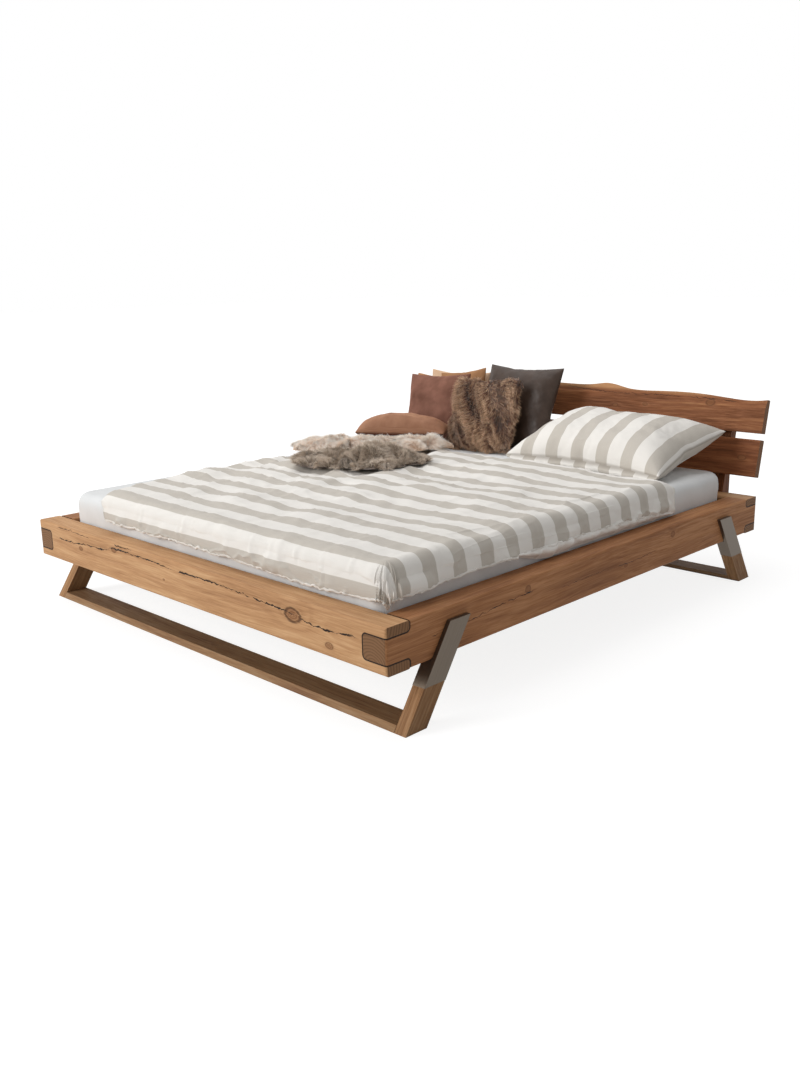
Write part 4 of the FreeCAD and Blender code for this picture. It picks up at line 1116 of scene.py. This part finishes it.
@dataclass
class Cushion:
    """A cushion sewn from two flat panels and filled.

    `size`, `pose` (lean, yaw and roll in degrees) and `place` (across, down from the head end, up from the
    mattress) are the piece's own; `pucker` is the share of the simulated shape, `dip` how far the sides draw in,
    and `sag` how far the lower panel bulges past the front seam.
    """

    node: str
    body: str
    slot: str
    size: Triple
    pose: Triple
    place: Triple
    finish: ClothFinish | StripeFinish
    pressure: float = 7.0
    frames: int = 18
    step: float = 0.0075
    fill: float = 0.8
    slack: float = 1.07
    seed: int = 1
    pucker: float = 0.16
    sag: float = 0.0
    dip: float = 0.045
    squareness: float = 3.4
    fullness: float = 0.62
    soft: float = 0.010
    sag_width: float = 0.07
    dent: float = 0.0022
    seat: float | None = None
    form: np.ndarray = field(default_factory=lambda: np.zeros((0, 3)))

    def panels(self) -> bpy.types.Object:
        """Makes the two panels, joined along their edges, with a slight swell.

        Returns:
            The unfilled cushion about the origin: width X, height Y, front +Z.
        """
        width, height, thick = (part * self.slack for part in self.size)
        columns, rows = max(8, round(width / self.step)), max(8, round(height / self.step))
        u, v = np.meshgrid(np.linspace(-1, 1, columns + 1), np.linspace(-1, 1, rows + 1), indexing="ij")
        crown = ((1 - np.abs(u) ** self.squareness) * (1 - np.abs(v) ** self.squareness)) ** self.fullness
        swell = crown * thick * (1 + 0.10 * Noise(self.seed).layers(u * 2, v * 2))
        dip_u = self.dip * (1 - v * v) * np.abs(u) ** 3 * np.sign(u)
        dip_v = self.dip * (1 - u * u) * np.abs(v) ** 3 * np.sign(v)

        def laid(x: np.ndarray, y: np.ndarray, z: np.ndarray) -> np.ndarray:
            """Rows of points from shares of the width and height."""
            return np.stack([x * width / 2, y * height / 2, z], axis=-1).reshape(-1, 3)

        number = np.arange((columns + 1) * (rows + 1)).reshape(columns + 1, rows + 1)
        inner = np.zeros_like(number, dtype=bool)
        inner[1:-1, 1:-1] = True
        inside = inner.reshape(-1)
        other = number.copy()
        other[inner] = inside.size + np.arange(inner.sum())
        mirror = np.array([1, 1, -1])
        front, form = laid(u, v, swell * 0.16), laid(u - dip_u, v - dip_v, swell / 2)
        points, self.form = (np.concatenate([part, (part * mirror)[inside]]) for part in (front, form))
        flat = laid(u, v, np.zeros_like(u))
        cloth = np.concatenate([flat, flat[inside]])
        cloth[:len(flat), 2] = inside
        cloth[len(flat):, 2] = -1
        faces = np.concatenate([grid_faces(number), grid_faces(other, True)])
        return mesh_object(self.node + "_cover", points, faces, cloth)

    def fill_up(self, obj: bpy.types.Object) -> None:
        """Fills the cover by a short cloth simulation, so that its seams pucker.

        Args:
            obj: the unfilled cover.
        """
        cloth = obj.modifiers.new("filling", "CLOTH")
        for name, value in (("quality", 5), ("mass", 0.2), ("tension_stiffness", 30),
                            ("compression_stiffness", 30), ("shear_stiffness", 10), ("bending_stiffness", 0.15),
                            ("use_pressure", True), ("uniform_pressure_force", self.pressure)):
            setattr(cloth.settings, name, value)
        cloth.settings.effector_weights.gravity = 0
        cloth.collision_settings.use_collision = False
        for number in range(1, self.frames + 1):
            bpy.context.scene.frame_set(number)
        freeze(obj)
        bpy.context.scene.frame_set(1)

    def matrix(self, head_y: float, top: float) -> Matrix:
        """Where the cushion stands, from its own axes to the row frame.

        Args:
            head_y: the mattress's head end.
            top: the mattress's top.

        Returns:
            The transform.
        """
        lean, yaw, roll = (math.radians(part) for part in self.pose)
        across, down, up = self.place
        return (Matrix.Translation((across, head_y - down, top + up)) @ Matrix.Rotation(yaw, 4, "Z")
                @ Matrix.Rotation(RIGHT_ANGLE - lean, 4, "X") @ Matrix.Rotation(roll, 4, "Z"))

    def build(self, head_y: float, top: float) -> bpy.types.Object:
        """Makes, fills, fits and places the cushion.

        Args:
            head_y: the mattress's head end.
            top: the mattress's top.

        Returns:
            The finished cushion.
        """
        obj = self.panels()
        size = np.array(self.size)
        form = self.form / np.ptp(self.form, axis=0)
        self.fill_up(obj)
        filled = read_rows(obj.data.vertices, "co")
        filled -= (filled.min(axis=0) + filled.max(axis=0)) / 2
        form = form * (1 - self.pucker) + filled / np.ptp(filled, axis=0) * self.pucker
        write_points(obj.data, form * size)
        refine(obj)
        points = read_rows(obj.data.vertices, "co")
        low, high = points.min(axis=0), points.max(axis=0)
        points = (points - (low + high) / 2) * (size / (high - low))
        below = np.clip(-points[:, 2] / (size[2] / 2), 0, 1)
        points[:, 1] -= (self.sag * np.sin(math.pi * below ** 0.6)
                         * np.exp(-((points[:, 1] + size[1] / 2) / self.sag_width) ** 2))
        dents = Noise(self.seed + 50).layers(points[:, 0] * 14, points[:, 1] * 14, 3) * self.dent
        points[:, 2] += dents * np.sign(points[:, 2]) * np.minimum(np.abs(points[:, 2]) / 0.02, 1)
        matrix = self.matrix(head_y, top)
        points = points @ np.array(matrix.to_3x3()).T + np.array(matrix.translation)
        seat = (self.seat if self.seat is not None else top) + CLEARANCE
        gap = points[:, 2] - seat
        pressed = self.soft * np.exp(np.minimum(gap - self.soft, 0) / self.soft)
        points[:, 2] = seat + np.where(gap < self.soft, pressed, gap)
        write_points(obj.data, points)
        obj.name = self.node + "_cover"
        dress(self.finish.build(), obj)
        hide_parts(self.node)
        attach(obj, self.body)
        LOG.info("%s: %d faces", self.node, len(obj.data.polygons))
        return obj


@dataclass
class FurThrow:
    """A long-haired skin lying in a low lobed heap."""

    node: str
    body: str
    size: Triple
    turn: float
    place: tuple[float, float]
    finish: FurFinish
    pile: Pile
    seed: int
    lobes: tuple[float, ...] = (1.0, 0.86, 0.97, 0.83, 1.0, 0.88, 0.95, 0.80, 0.98, 0.87)
    spread: float = 0.86
    thickness: float = 0.52
    spokes: int = 160
    rings: int = 26

    def build(self, head_y: float, floor: float) -> None:
        """Makes the skin and its pile.

        Args:
            head_y: the mattress's head end.
            floor: height of the duvet below it.
        """
        half_length, half_width, height = self.size
        around = np.linspace(0, FULL_TURN, self.spokes + 1)[:-1]
        count = len(self.lobes)
        share = around / FULL_TURN * count
        lower = np.floor(share).astype(int) % count
        lobes = np.array(self.lobes)
        base = lobes[lower] * (1 - share % 1) + lobes[(lower + 1) % count] * (share % 1)
        reach = base * (1 + 0.10 * np.abs(np.sin(math.pi * share)) ** 0.8)
        noise = Noise(self.seed)
        r, k = np.meshgrid(np.linspace(0, 1, self.rings), np.arange(len(around)), indexing="ij")
        a = around[k]
        scale = self.spread * r * (1 + (reach[k] - 1) * r)
        x, y = half_length * scale * np.cos(a), half_width * scale * np.sin(a)
        tufts = 0.45 * noise.layers(x * 9, y * 9, 2) + 0.55 * noise.layers(x * 21 + 5, y * 21, 2, 0.4)
        rise = self.thickness * height * (1 - r ** 5) * (0.80 + tufts)
        turn = math.radians(self.turn)
        world = np.stack([x * math.cos(turn) - y * math.sin(turn) + self.place[0],
                          x * math.sin(turn) + y * math.cos(turn) + head_y - self.place[1],
                          floor + 0.002 + rise], axis=-1).reshape(-1, 3)
        faces = ring_faces(np.arange(len(world)).reshape(r.shape))
        skin = mesh_object(self.node + "_skin", world, faces, np.zeros((len(world), 3)))
        fur = self.pile.grow(skin, self.node + "_pile", floor)
        dress(self.finish.build(), skin, fur)
        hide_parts(self.node)
        for obj in (skin, fur):
            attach(obj, self.body)
        LOG.info("%s: %d locks", self.node, len(fur.data.polygons) // 3)


@dataclass
class FittedSheet:
    """The mattress's fitted cotton sheet, drawn tight with faint pulls and sewn corners."""

    node: str = "fitted_sheet"
    edge: float = 0.038
    corner: float = 0.07
    step: float = 0.011
    hem: float = 0.055
    turned_under: float = 0.05
    turns: int = 720

    def levels(self, tall: float) -> list[tuple[float, float]]:
        """How far in and how low each ring of the sides lies.

        Args:
            tall: the mattress's height.

        Returns:
            Rows of inset and height under the top.
        """
        rows = [(self.hem, -tall), (0.0, -tall + 0.001)]
        count = int((tall - self.edge) / self.step)
        rows += [(0.0, -self.edge - (tall - self.edge) * (1 - k / count)) for k in range(1, count + 1)]
        return rows + [(self.edge * (1 - math.cos(a)), -self.edge * (1 - math.sin(a)))
                       for a in np.linspace(0, RIGHT_ANGLE, 9)[1:]]

    def build(self) -> None:
        low, high = (np.array(corner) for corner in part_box(self.node))
        half, middle = (high - low) / 2, (high + low) / 2
        noise = Noise(11)
        levels = self.levels(2 * half[2])
        body = np.stack([np.column_stack([self.outline(half[0] - inset, half[1] - inset,
                                                       max(self.corner - inset, 0.02)),
                                          np.full(self.turns, z)]) for inset, z in levels])
        inner = np.stack([np.column_stack([body[-1][:, :2] * s, np.zeros(self.turns)])
                          for s in 1 - np.linspace(0, 1, 60)[1:]])
        points = np.concatenate([body, inner])
        x, y, z = points[..., 0], points[..., 1], points[..., 2]
        top = np.zeros(points.shape[:2])
        top[len(levels):] = 1
        drag = noise.layers(x * 5, y * 5, 3) * 0.0016 + noise.creases(x * 3.2, y * 2.1, 5.0) * 0.0018
        side = (1 - top) * np.clip(-z / 0.05, 0, 1)
        pleat = noise.layers(x * 9 + 31, y * 9 + z * 2, 3) * 0.0028 + noise.creases(x * 7, y * 7 + z * 5) * 0.002
        push = np.maximum(pleat + 0.0010, -0.0004) * side
        near_x, near_y = (np.abs(half[i] - np.abs(points[..., i])) < 0.08 for i in (0, 1))
        world = np.stack([x + push * np.sign(x) * near_x + middle[0], y + push * np.sign(y) * near_y + middle[1],
                          z + middle[2] + half[2] + np.clip(drag - 0.0008, -0.0005, 0.003) * top],
                         axis=-1).reshape(-1, 3)
        faces = ring_faces(np.arange(len(world)).reshape(points.shape[:2]))[:, ::-1]
        obj = mesh_object("fitted_sheet_cloth", world, faces, points.reshape(-1, 3))
        dress(ClothFinish("white_sheet_percale", "#E2E3E3", "#DCDDDD", Weave.COTTON).build(), obj)
        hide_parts(self.node)
        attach(obj, "mattress")

    def outline(self, half_x: float, half_y: float, radius: float) -> np.ndarray:
        """Points round a rectangle with round corners.

        Args:
            half_x: half the width.
            half_y: half the length.
            radius: corner radius.

        Returns:
            Rows of x and y.
        """
        arc = np.linspace(0, RIGHT_ANGLE, 16)
        chain = []
        for sx, sy, first in ((1, 1, 0), (-1, 1, 1), (-1, -1, 2), (1, -1, 3)):
            angle = arc + first * RIGHT_ANGLE
            chain.append(np.column_stack([sx * (half_x - radius) + radius * np.cos(angle),
                                          sy * (half_y - radius) + radius * np.sin(angle)]))
        ring = np.concatenate(chain + [chain[0][:1]])
        run = run_along(ring)
        spots = np.linspace(0, run[-1], self.turns, endpoint=False)
        return np.column_stack([np.interp(spots, run, ring[:, i]) for i in (0, 1)])


@dataclass
class Duvet:
    """A filled duvet in a striped cover, folding over the right and foot edges of the mattress."""

    node: str = "duvet"
    bend: float = 0.050
    inner_bend: float = 0.040
    loft: float = 0.033
    inset: float = 0.0065
    inner_inset: float = 0.0245
    left_shares: tuple[float, ...] = (-0.66, -0.80, -0.92, -0.80, -0.46)
    left_places: tuple[float, ...] = (0.0, 0.13, 0.36, 0.72, 1.0)
    foot_start: float = -0.8
    foot_span: float = 1.7
    foot_hem_x: tuple[float, ...] = (-0.8, -0.3, 0.0, 0.44, 0.70, 0.88)
    foot_hem_z: tuple[float, ...] = (0.376, 0.374, 0.372, 0.358, 0.366, 0.381)
    right_hem_y: tuple[float, ...] = (-1.0, -0.6, -0.2, 0.2, 0.45, 0.52)
    right_hem_z: tuple[float, ...] = (0.376, 0.385, 0.386, 0.380, 0.362, 0.352)
    half_width: float = 0.9
    gap: float = CLEARANCE
    points: int = 300
    flat_count: float = 0.62
    flat_share: float = 0.90
    rim: float = 0.05
    highest: float = 0.016
    band_start: float = -0.48
    piping_step: float = 0.0035
    piping_radius: float = 0.0042
    piping_sides: int = 8

    def spaced(self) -> np.ndarray:
        """Spaces the points of one side.

        Returns:
            Shares from 0 to 1, closer together on the hanging part.
        """
        even = np.linspace(0, 1, self.points)
        hanging = self.flat_share + (even - self.flat_count) / (1 - self.flat_count) * (1 - self.flat_share)
        return np.where(even < self.flat_count, even / self.flat_count * self.flat_share, hanging)

    def left_edge(self, v: np.ndarray) -> np.ndarray:
        """Places the duvet's left edge.

        Args:
            v: shares of the duvet's length.

        Returns:
            The edge's place across the bed at each share.
        """
        knots = np.linspace(0, 1, 9)
        shares = np.pad(np.interp(knots, self.left_places, self.left_shares), 1, mode="edge")
        return np.interp(v, knots, np.convolve(shares, [0.25, 0.5, 0.25], "valid")) * self.half_width

    def surface(self, outer: bool) -> tuple[np.ndarray, np.ndarray]:
        """Points of the cover's outer or inner side.

        Args:
            outer: whether it is the outer side.

        Returns:
            Grid of points and grid of flat cloth coordinates.
        """
        low, high = (np.array(corner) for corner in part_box(self.node))
        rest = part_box("fitted_sheet")[1][2]
        r, inset = (self.bend, self.inset) if outer else (self.inner_bend, self.inner_inset)
        x0, y0 = high[0] - inset - r, low[1] + inset + r
        top = rest + (self.loft if outer else 0.001)
        quarter = r * RIGHT_ANGLE
        u, v = np.meshgrid(self.spaced(), 1 - self.spaced()[::-1], indexing="ij")
        hem_z = np.interp(low[1] + v * (high[1] - low[1]), self.right_hem_y, self.right_hem_z)
        foot_z = np.interp(self.foot_start + u * self.foot_span, self.foot_hem_x, self.foot_hem_z)
        right = x0 + quarter + (top - r) - hem_z
        foot = y0 - quarter - (top - r) + foot_z
        noise = Noise(5)
        left = self.left_edge(v) + 0.012 * noise.at(v * 7, v * 0 + 3)
        flat_x = left + u * (right - left)
        flat_y = foot + v * (high[1] + 0.006 * noise.at(u * 6, u * 0 + 8) - 0.006 - foot)
        ax, ay = np.maximum(flat_x - x0, 0), np.maximum(y0 - flat_y, 0)
        run = (ax ** 3 + ay ** 3) ** (1 / 3)
        span = np.hypot(ax, ay) + TINY
        cos_side, sin_side = np.where(ax > 0, ax / span, 0), np.where(ay > 0, ay / span, 0)
        theta = np.minimum(run / r, RIGHT_ANGLE)
        hang = np.maximum(run - quarter, 0)
        share = np.clip(hang / np.maximum(hang.max(), 0.02), 0, 1)
        out = r * np.sin(theta)
        if outer:
            out = out + 0.008 * np.sin(math.pi * share) - 0.004 * share ** 4
        points = np.stack([np.minimum(flat_x, x0) + out * cos_side, np.maximum(flat_y, y0) - out * sin_side,
                           top - r * (1 - np.cos(theta)) - hang], axis=-1)
        if outer:
            normal = np.stack([np.sin(theta) * cos_side, -np.sin(theta) * sin_side, np.cos(theta)], axis=-1)
            points += normal * self.relief(flat_x, flat_y, share, cos_side, sin_side, ax, ay, noise)[..., None]
            away = np.minimum((flat_x - left), (high[1] - flat_y))
            edge = np.sqrt(1 - (1 - np.clip(away / self.rim, 0, 1)) ** 2)
            floor = rest + self.gap
            lifted = floor + (points[..., 2] - floor) * edge
            points[..., 2] = np.where(points[..., 2] > floor, lifted, points[..., 2])
        waver = 0.003 * noise.layers(flat_x * 2.2, flat_y * 2.4, 2)
        return points, np.stack([flat_x, flat_y - bed_middle() + waver, np.zeros_like(u)], axis=-1)

    def relief(self, x: np.ndarray, y: np.ndarray, share: np.ndarray, cos_side: np.ndarray, sin_side: np.ndarray,
               ax: np.ndarray, ay: np.ndarray, noise: Noise) -> np.ndarray:
        """Height of the puffs, folds and gathers over the smooth form.

        Args:
            x: flat coordinate across.
            y: flat coordinate along.
            share: how far down the hanging part, from 0 to 1.
            cos_side: how much the point hangs over the right edge.
            sin_side: how much it hangs over the foot edge.
            ax: flat length past the right bend.
            ay: flat length past the foot bend.
            noise: the duvet's noise.

        Returns:
            Displacement along the normal.
        """
        far = np.clip((y + 0.95) / 0.9, 0, 1) * (1 - 0.8 * np.clip((x + 0.25) / 0.7, 0, 1))
        swing = 0.05 * noise.layers(x * 3, y * 3 + 40, 2)
        puffs = noise.layers((x + swing) * 7.6, y * 5.2, 2, 0.45) * 0.021
        rolls = noise.layers(x * 2.4 + 9, (y + swing) * 6.4, 2, 0.5) * 0.012
        folds = noise.creases(x * 5.5 + 3, y * 3.1, 3.2) * 0.008 + noise.creases(x * 3.0, y * 7.5 + 21, 3.4) * 0.007
        pressed = noise.creases((x + 0.15 * swing) * 10, y * 0.7 + 5, 9.0) * 0.0014
        fine = noise.layers(x * 24, y * 24, 2) * 0.0013
        hanging = np.clip(np.maximum(ax, ay) / 0.09, 0, 1)
        top = (puffs + rolls + folds) * (0.26 + 0.70 * far) * (1 - 0.85 * hanging) - 0.003
        ways = x * sin_side + y * cos_side
        lean = ways + 0.05 * share * noise.at(ways * 3 + 2, share * 0 + 4)
        swell = np.sin(math.pi * np.clip(share, 0, 1) ** 0.8)
        bulges = noise.layers(lean * 7.5, share * 0.8 + 7, 2, 0.4) * 0.016 * swell
        pulls = (noise.layers(lean * 14, share * 1.2 + 3, 2) * 0.0050
                 + noise.creases(lean * 12, share * 0.9, 2.6) * 0.007)
        puckers = noise.layers(ways * 46, share * 2 + 11, 2) * 0.0030 * np.clip(share * 2.4 - 1.2, 0, 1)
        corner = 4 * (cos_side * sin_side) ** 2
        gathers = corner * np.sin(np.arctan2(sin_side, cos_side + TINY) * 8 + 0.7) * 0.0035
        total = top + pressed + fine + hanging * (pulls * (1 - 0.75 * corner) + bulges) + puckers + gathers * hanging
        total = self.highest * np.tanh(total / self.highest)
        return np.where(hanging > 0.6, np.maximum(total, -0.0035), total)

    def build(self) -> None:
        """Makes both sides of the duvet, its underside band and its piping."""
        outer, cloth = self.surface(True)
        inner, _ = self.surface(False)
        count = outer[..., 0].size
        n = np.arange(count).reshape(outer.shape[:2])
        m = n + count
        faces = [grid_faces(n), grid_faces(m, True)]
        for a, b in ((n[0], m[0]), (m[-1], n[-1]), (m[:, 0], n[:, 0]), (n[:, -1], m[:, -1])):
            faces.append(np.stack([a[:-1], a[1:], b[1:], b[:-1]], axis=-1)[:, ::-1])
        points = np.concatenate([outer.reshape(-1, 3), inner.reshape(-1, 3)])
        obj = mesh_object("duvet_cover", points, np.concatenate(faces), np.tile(cloth.reshape(-1, 3), (2, 1)))
        dress(StripeFinish("striped_duvet_percale", 1, start=-0.442 + 0.131 * 0.5 - 0.131).build(), obj)
        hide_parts(self.node)
        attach(obj, "duvet")
        self.band(outer)
        self.piping(outer)
        LOG.info("duvet: %d faces", len(obj.data.polygons))

    def piping(self, outer: np.ndarray) -> None:
        """Sews the cover's puckered edge along the foot and right hems.

        Args:
            outer: points of the cover's outer side.
        """
        path = np.concatenate([outer[:, 0], outer[-1, 1:]])
        run = run_along(path)
        spots = np.arange(0, run[-1], self.piping_step)
        path = np.stack([np.interp(spots, run, path[:, i]) for i in range(3)], axis=1)
        noise = Noise(61)
        path[:, 2] += 0.003 + noise.layers(spots * 55, spots * 0 + 2, 2) * 0.0035
        ahead = np.gradient(path, axis=0)
        ahead /= np.linalg.norm(ahead, axis=1)[:, None]
        side = np.cross(ahead, (0.0, 0.0, 1.0))
        side /= np.linalg.norm(side, axis=1)[:, None] + TINY
        up = np.cross(side, ahead)
        turn = np.linspace(0, FULL_TURN, self.piping_sides + 1)[:-1]
        wide = self.piping_radius * (1 + 0.35 * noise.at(spots * 70, spots * 0 + 9))
        wide[[0, -1]] = 0.0
        rings = path[:, None] + (np.cos(turn)[None, :, None] * side[:, None] * 0.8
                                 + np.sin(turn)[None, :, None] * up[:, None]) * wide[:, None, None]
        faces = ring_faces(np.arange(rings.shape[0] * self.piping_sides).reshape(-1, self.piping_sides))
        marks = np.repeat(np.stack([spots, spots * 0, spots * 0], axis=1), self.piping_sides, axis=0)
        obj = mesh_object("duvet_piping", rings.reshape(-1, 3), faces, marks)
        dress(ClothFinish("hem_percale", "#EAE6E0", "#D9D4CC", Weave.COTTON).build(), obj)
        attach(obj, "duvet")

    def band(self, outer: np.ndarray) -> None:
        """Makes the plain underside that shows below the right hem.

        Args:
            outer: points of the cover's outer side.
        """
        hem = outer[-1]
        hem = hem[(hem[:, 1] > -0.50) & (hem[:, 1] < 0.505)]
        spots = np.linspace(self.band_start, 0.498, 260)
        z_top = np.interp(spots, hem[:, 1], hem[:, 2]) + 0.008
        x_hem = np.interp(spots, hem[:, 1], hem[:, 0])
        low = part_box(self.node)[0][2]
        noise = Noise(23)
        begin = np.clip((spots - self.band_start) / 0.14, 0, 1) ** 0.6
        fall = (z_top - low - 0.0015) * begin
        rows, marks = [], []
        for share in np.linspace(0, 1, 12):
            belly = math.sin(math.pi * min(0.08 + share, 1.0) ** 0.8) * 0.017
            crease = noise.layers(spots * 26, spots * 0 + share * 2, 3) * 0.0036 * math.sin(math.pi * share)
            x, z = x_hem - 0.010 + belly + crease - 0.004 * share, z_top - fall * share
            rows.append(np.stack([x, spots, z], axis=-1))
            marks.append(np.stack([spots, z, x], axis=-1))
        grid = np.stack(rows)
        faces = grid_faces(np.arange(grid[..., 0].size).reshape(grid.shape[:2]), True)
        obj = mesh_object("duvet_underside", grid.reshape(-1, 3), faces, np.stack(marks).reshape(-1, 3))
        dress(ClothFinish("plain_duvet_percale", "#F4F1EC", "#E8E4DD", Weave.COTTON).build(), obj)
        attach(obj, "duvet")


@dataclass
class Bedding:
    """Everything soft, laid out from the mattress's head end."""

    def build(self) -> None:
        """Makes sheet, duvet, pillow, cushions and throws."""
        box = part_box("fitted_sheet")
        head_y, top = box[1][1], box[1][2]
        dress(PlainFinish("cold_foam_core", "#EDE7D8", "#E4DCCB", 0.9).build(), "mattress_core")
        FittedSheet().build()
        Duvet().build()
        self.cushions(head_y, top)
        self.fur_cushion(head_y, top)
        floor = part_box("duvet")[1][2] + 0.0002
        FurThrow("beige_throw", "beige_throw_body", (0.44, 0.18, 0.062), 42.0, (-0.534, 0.674),
                 FurFinish("beige_long_wool", "#E2C6AC", "#FBEADA", "#FFFCF6"),
                 Pile(70000, 0.042, 0.0022, 41, comb=(0.15, -0.25, -0.1), swirl=0.9, upright=0.7), 51
                 ).build(head_y, floor)
        FurThrow("brown_throw", "brown_throw_body", (0.33, 0.20, 0.074), 43.0, (-0.285, 0.98),
                 FurFinish("brown_long_wool", "#6A584A", "#AB9883", "#E8D9C8"),
                 Pile(70000, 0.042, 0.0022, 42, comb=(0.1, -0.3, -0.15), swirl=0.9, upright=0.75), 52
                 ).build(head_y, floor)
        LOG.info("bedding laid")

    def cushions(self, head_y: float, top: float) -> None:
        """Makes the pillow and the smooth cushions.

        Args:
            head_y: the mattress's head end.
            top: the mattress's top.
        """
        stripes = StripeFinish("striped_pillow_percale", 0, period=0.143, start=0.035, under_shift=-0.025)
        Cushion("striped_pillow", "pillow", "striped_pillow_cotton", (0.81, 0.49, 0.245), (75.0, -4.0, 0.0),
                (0.456, 0.168, 0.098), stripes, fill=0.75, seed=3, step=0.0095, slack=1.09, pucker=0.3,
                sag=0.034).build(head_y, top)
        # The copper cushion lies flat, and its underside carries painted shade.
        copper = ClothFinish("copper_pile_velvet", "#A97D62", "#8D624A", Weave.VELVET, under="#4A281C")
        for colour, size, pose, place, finish, seed, seat in (
                ("rose", (0.400, 0.345, 0.118), (15.0, 0.0, 3.0), (-0.645, 0.094, 0.165),
                 ClothFinish("rose_pile_velvet", "#845A4A", "#643F30", Weave.VELVET), 4, None),
                ("taupe", (0.436, 0.42, 0.13), (20.0, 0.0, 0.0), (-0.157, 0.05, 0.189),
                 ClothFinish("taupe_sateen", "#45362D", "#33261E", Weave.SATIN), 5, None),
                ("beige", (0.4, 0.452, 0.05), (11.3, 0.0, 0.0), (-0.66, -0.07, 0.112),
                 ClothFinish("beige_velvet", "#DDBD9F", "#CBA888", Weave.VELVET), 6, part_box("head_beam")[1][2]),
                ("gold", (0.3, 0.35, 0.066), (11.3, 0.0, 8.0), (-0.565, -0.018, 0.174),
                 ClothFinish("gold_velvet", "#A87C56", "#8C6240", Weave.VELVET), 7, None),
                ("copper", (0.44, 0.19, 0.17), (90.0, 31.0, 0.0), (-0.608, 0.38, 0.084), copper, 8, None)):
            node = colour + "_cushion"
            Cushion(node, node + "_body", node, size, pose, place, finish, seed=seed, seat=seat).build(head_y, top)

    def fur_cushion(self, head_y: float, top: float) -> None:
        """Makes the long-haired cushion and its pile.

        Args:
            head_y: the mattress's head end.
            top: the mattress's top.
        """
        backing = ClothFinish("fur_backing", "#5A4636", "#4A392B", Weave.VELVET)
        body = Cushion("fur_cushion", "fur_cushion_body", "fur_cushion", (0.376, 0.341, 0.085), (22.0, 0.0, 3.0),
                       (-0.25, 0.2, 0.17), backing, seed=9, pucker=0.06).build(head_y, top)
        pile = Pile(42000, 0.034, 0.0019, 31, comb=(0.0, -0.15, -0.75), swirl=1.0, upright=0.55)
        hair = pile.grow(body, "fur_cushion_pile", top)
        dress(FurFinish("long_pile_fur_cushion", "#2A180E", "#74482E", "#EBC6A2").build(), hair)
        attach(hair, "fur_cushion_body")
        LOG.info("fur cushion: %d locks", len(hair.data.polygons) // 3)


def main() -> None:
    """Builds the scene in order."""
    logging.basicConfig(level=logging.INFO, format="%(name)s: %(message)s")
    bpy.context.scene.view_settings.view_transform = "Standard"
    studio = Studio(bed_middle())
    studio.camera()
    studio.lights()
    studio.floor()
    for part in (BedFrame(), Headboard(), SlattedBase(), Bedding()):
        part.build()


if __name__ == "__main__":
    main()
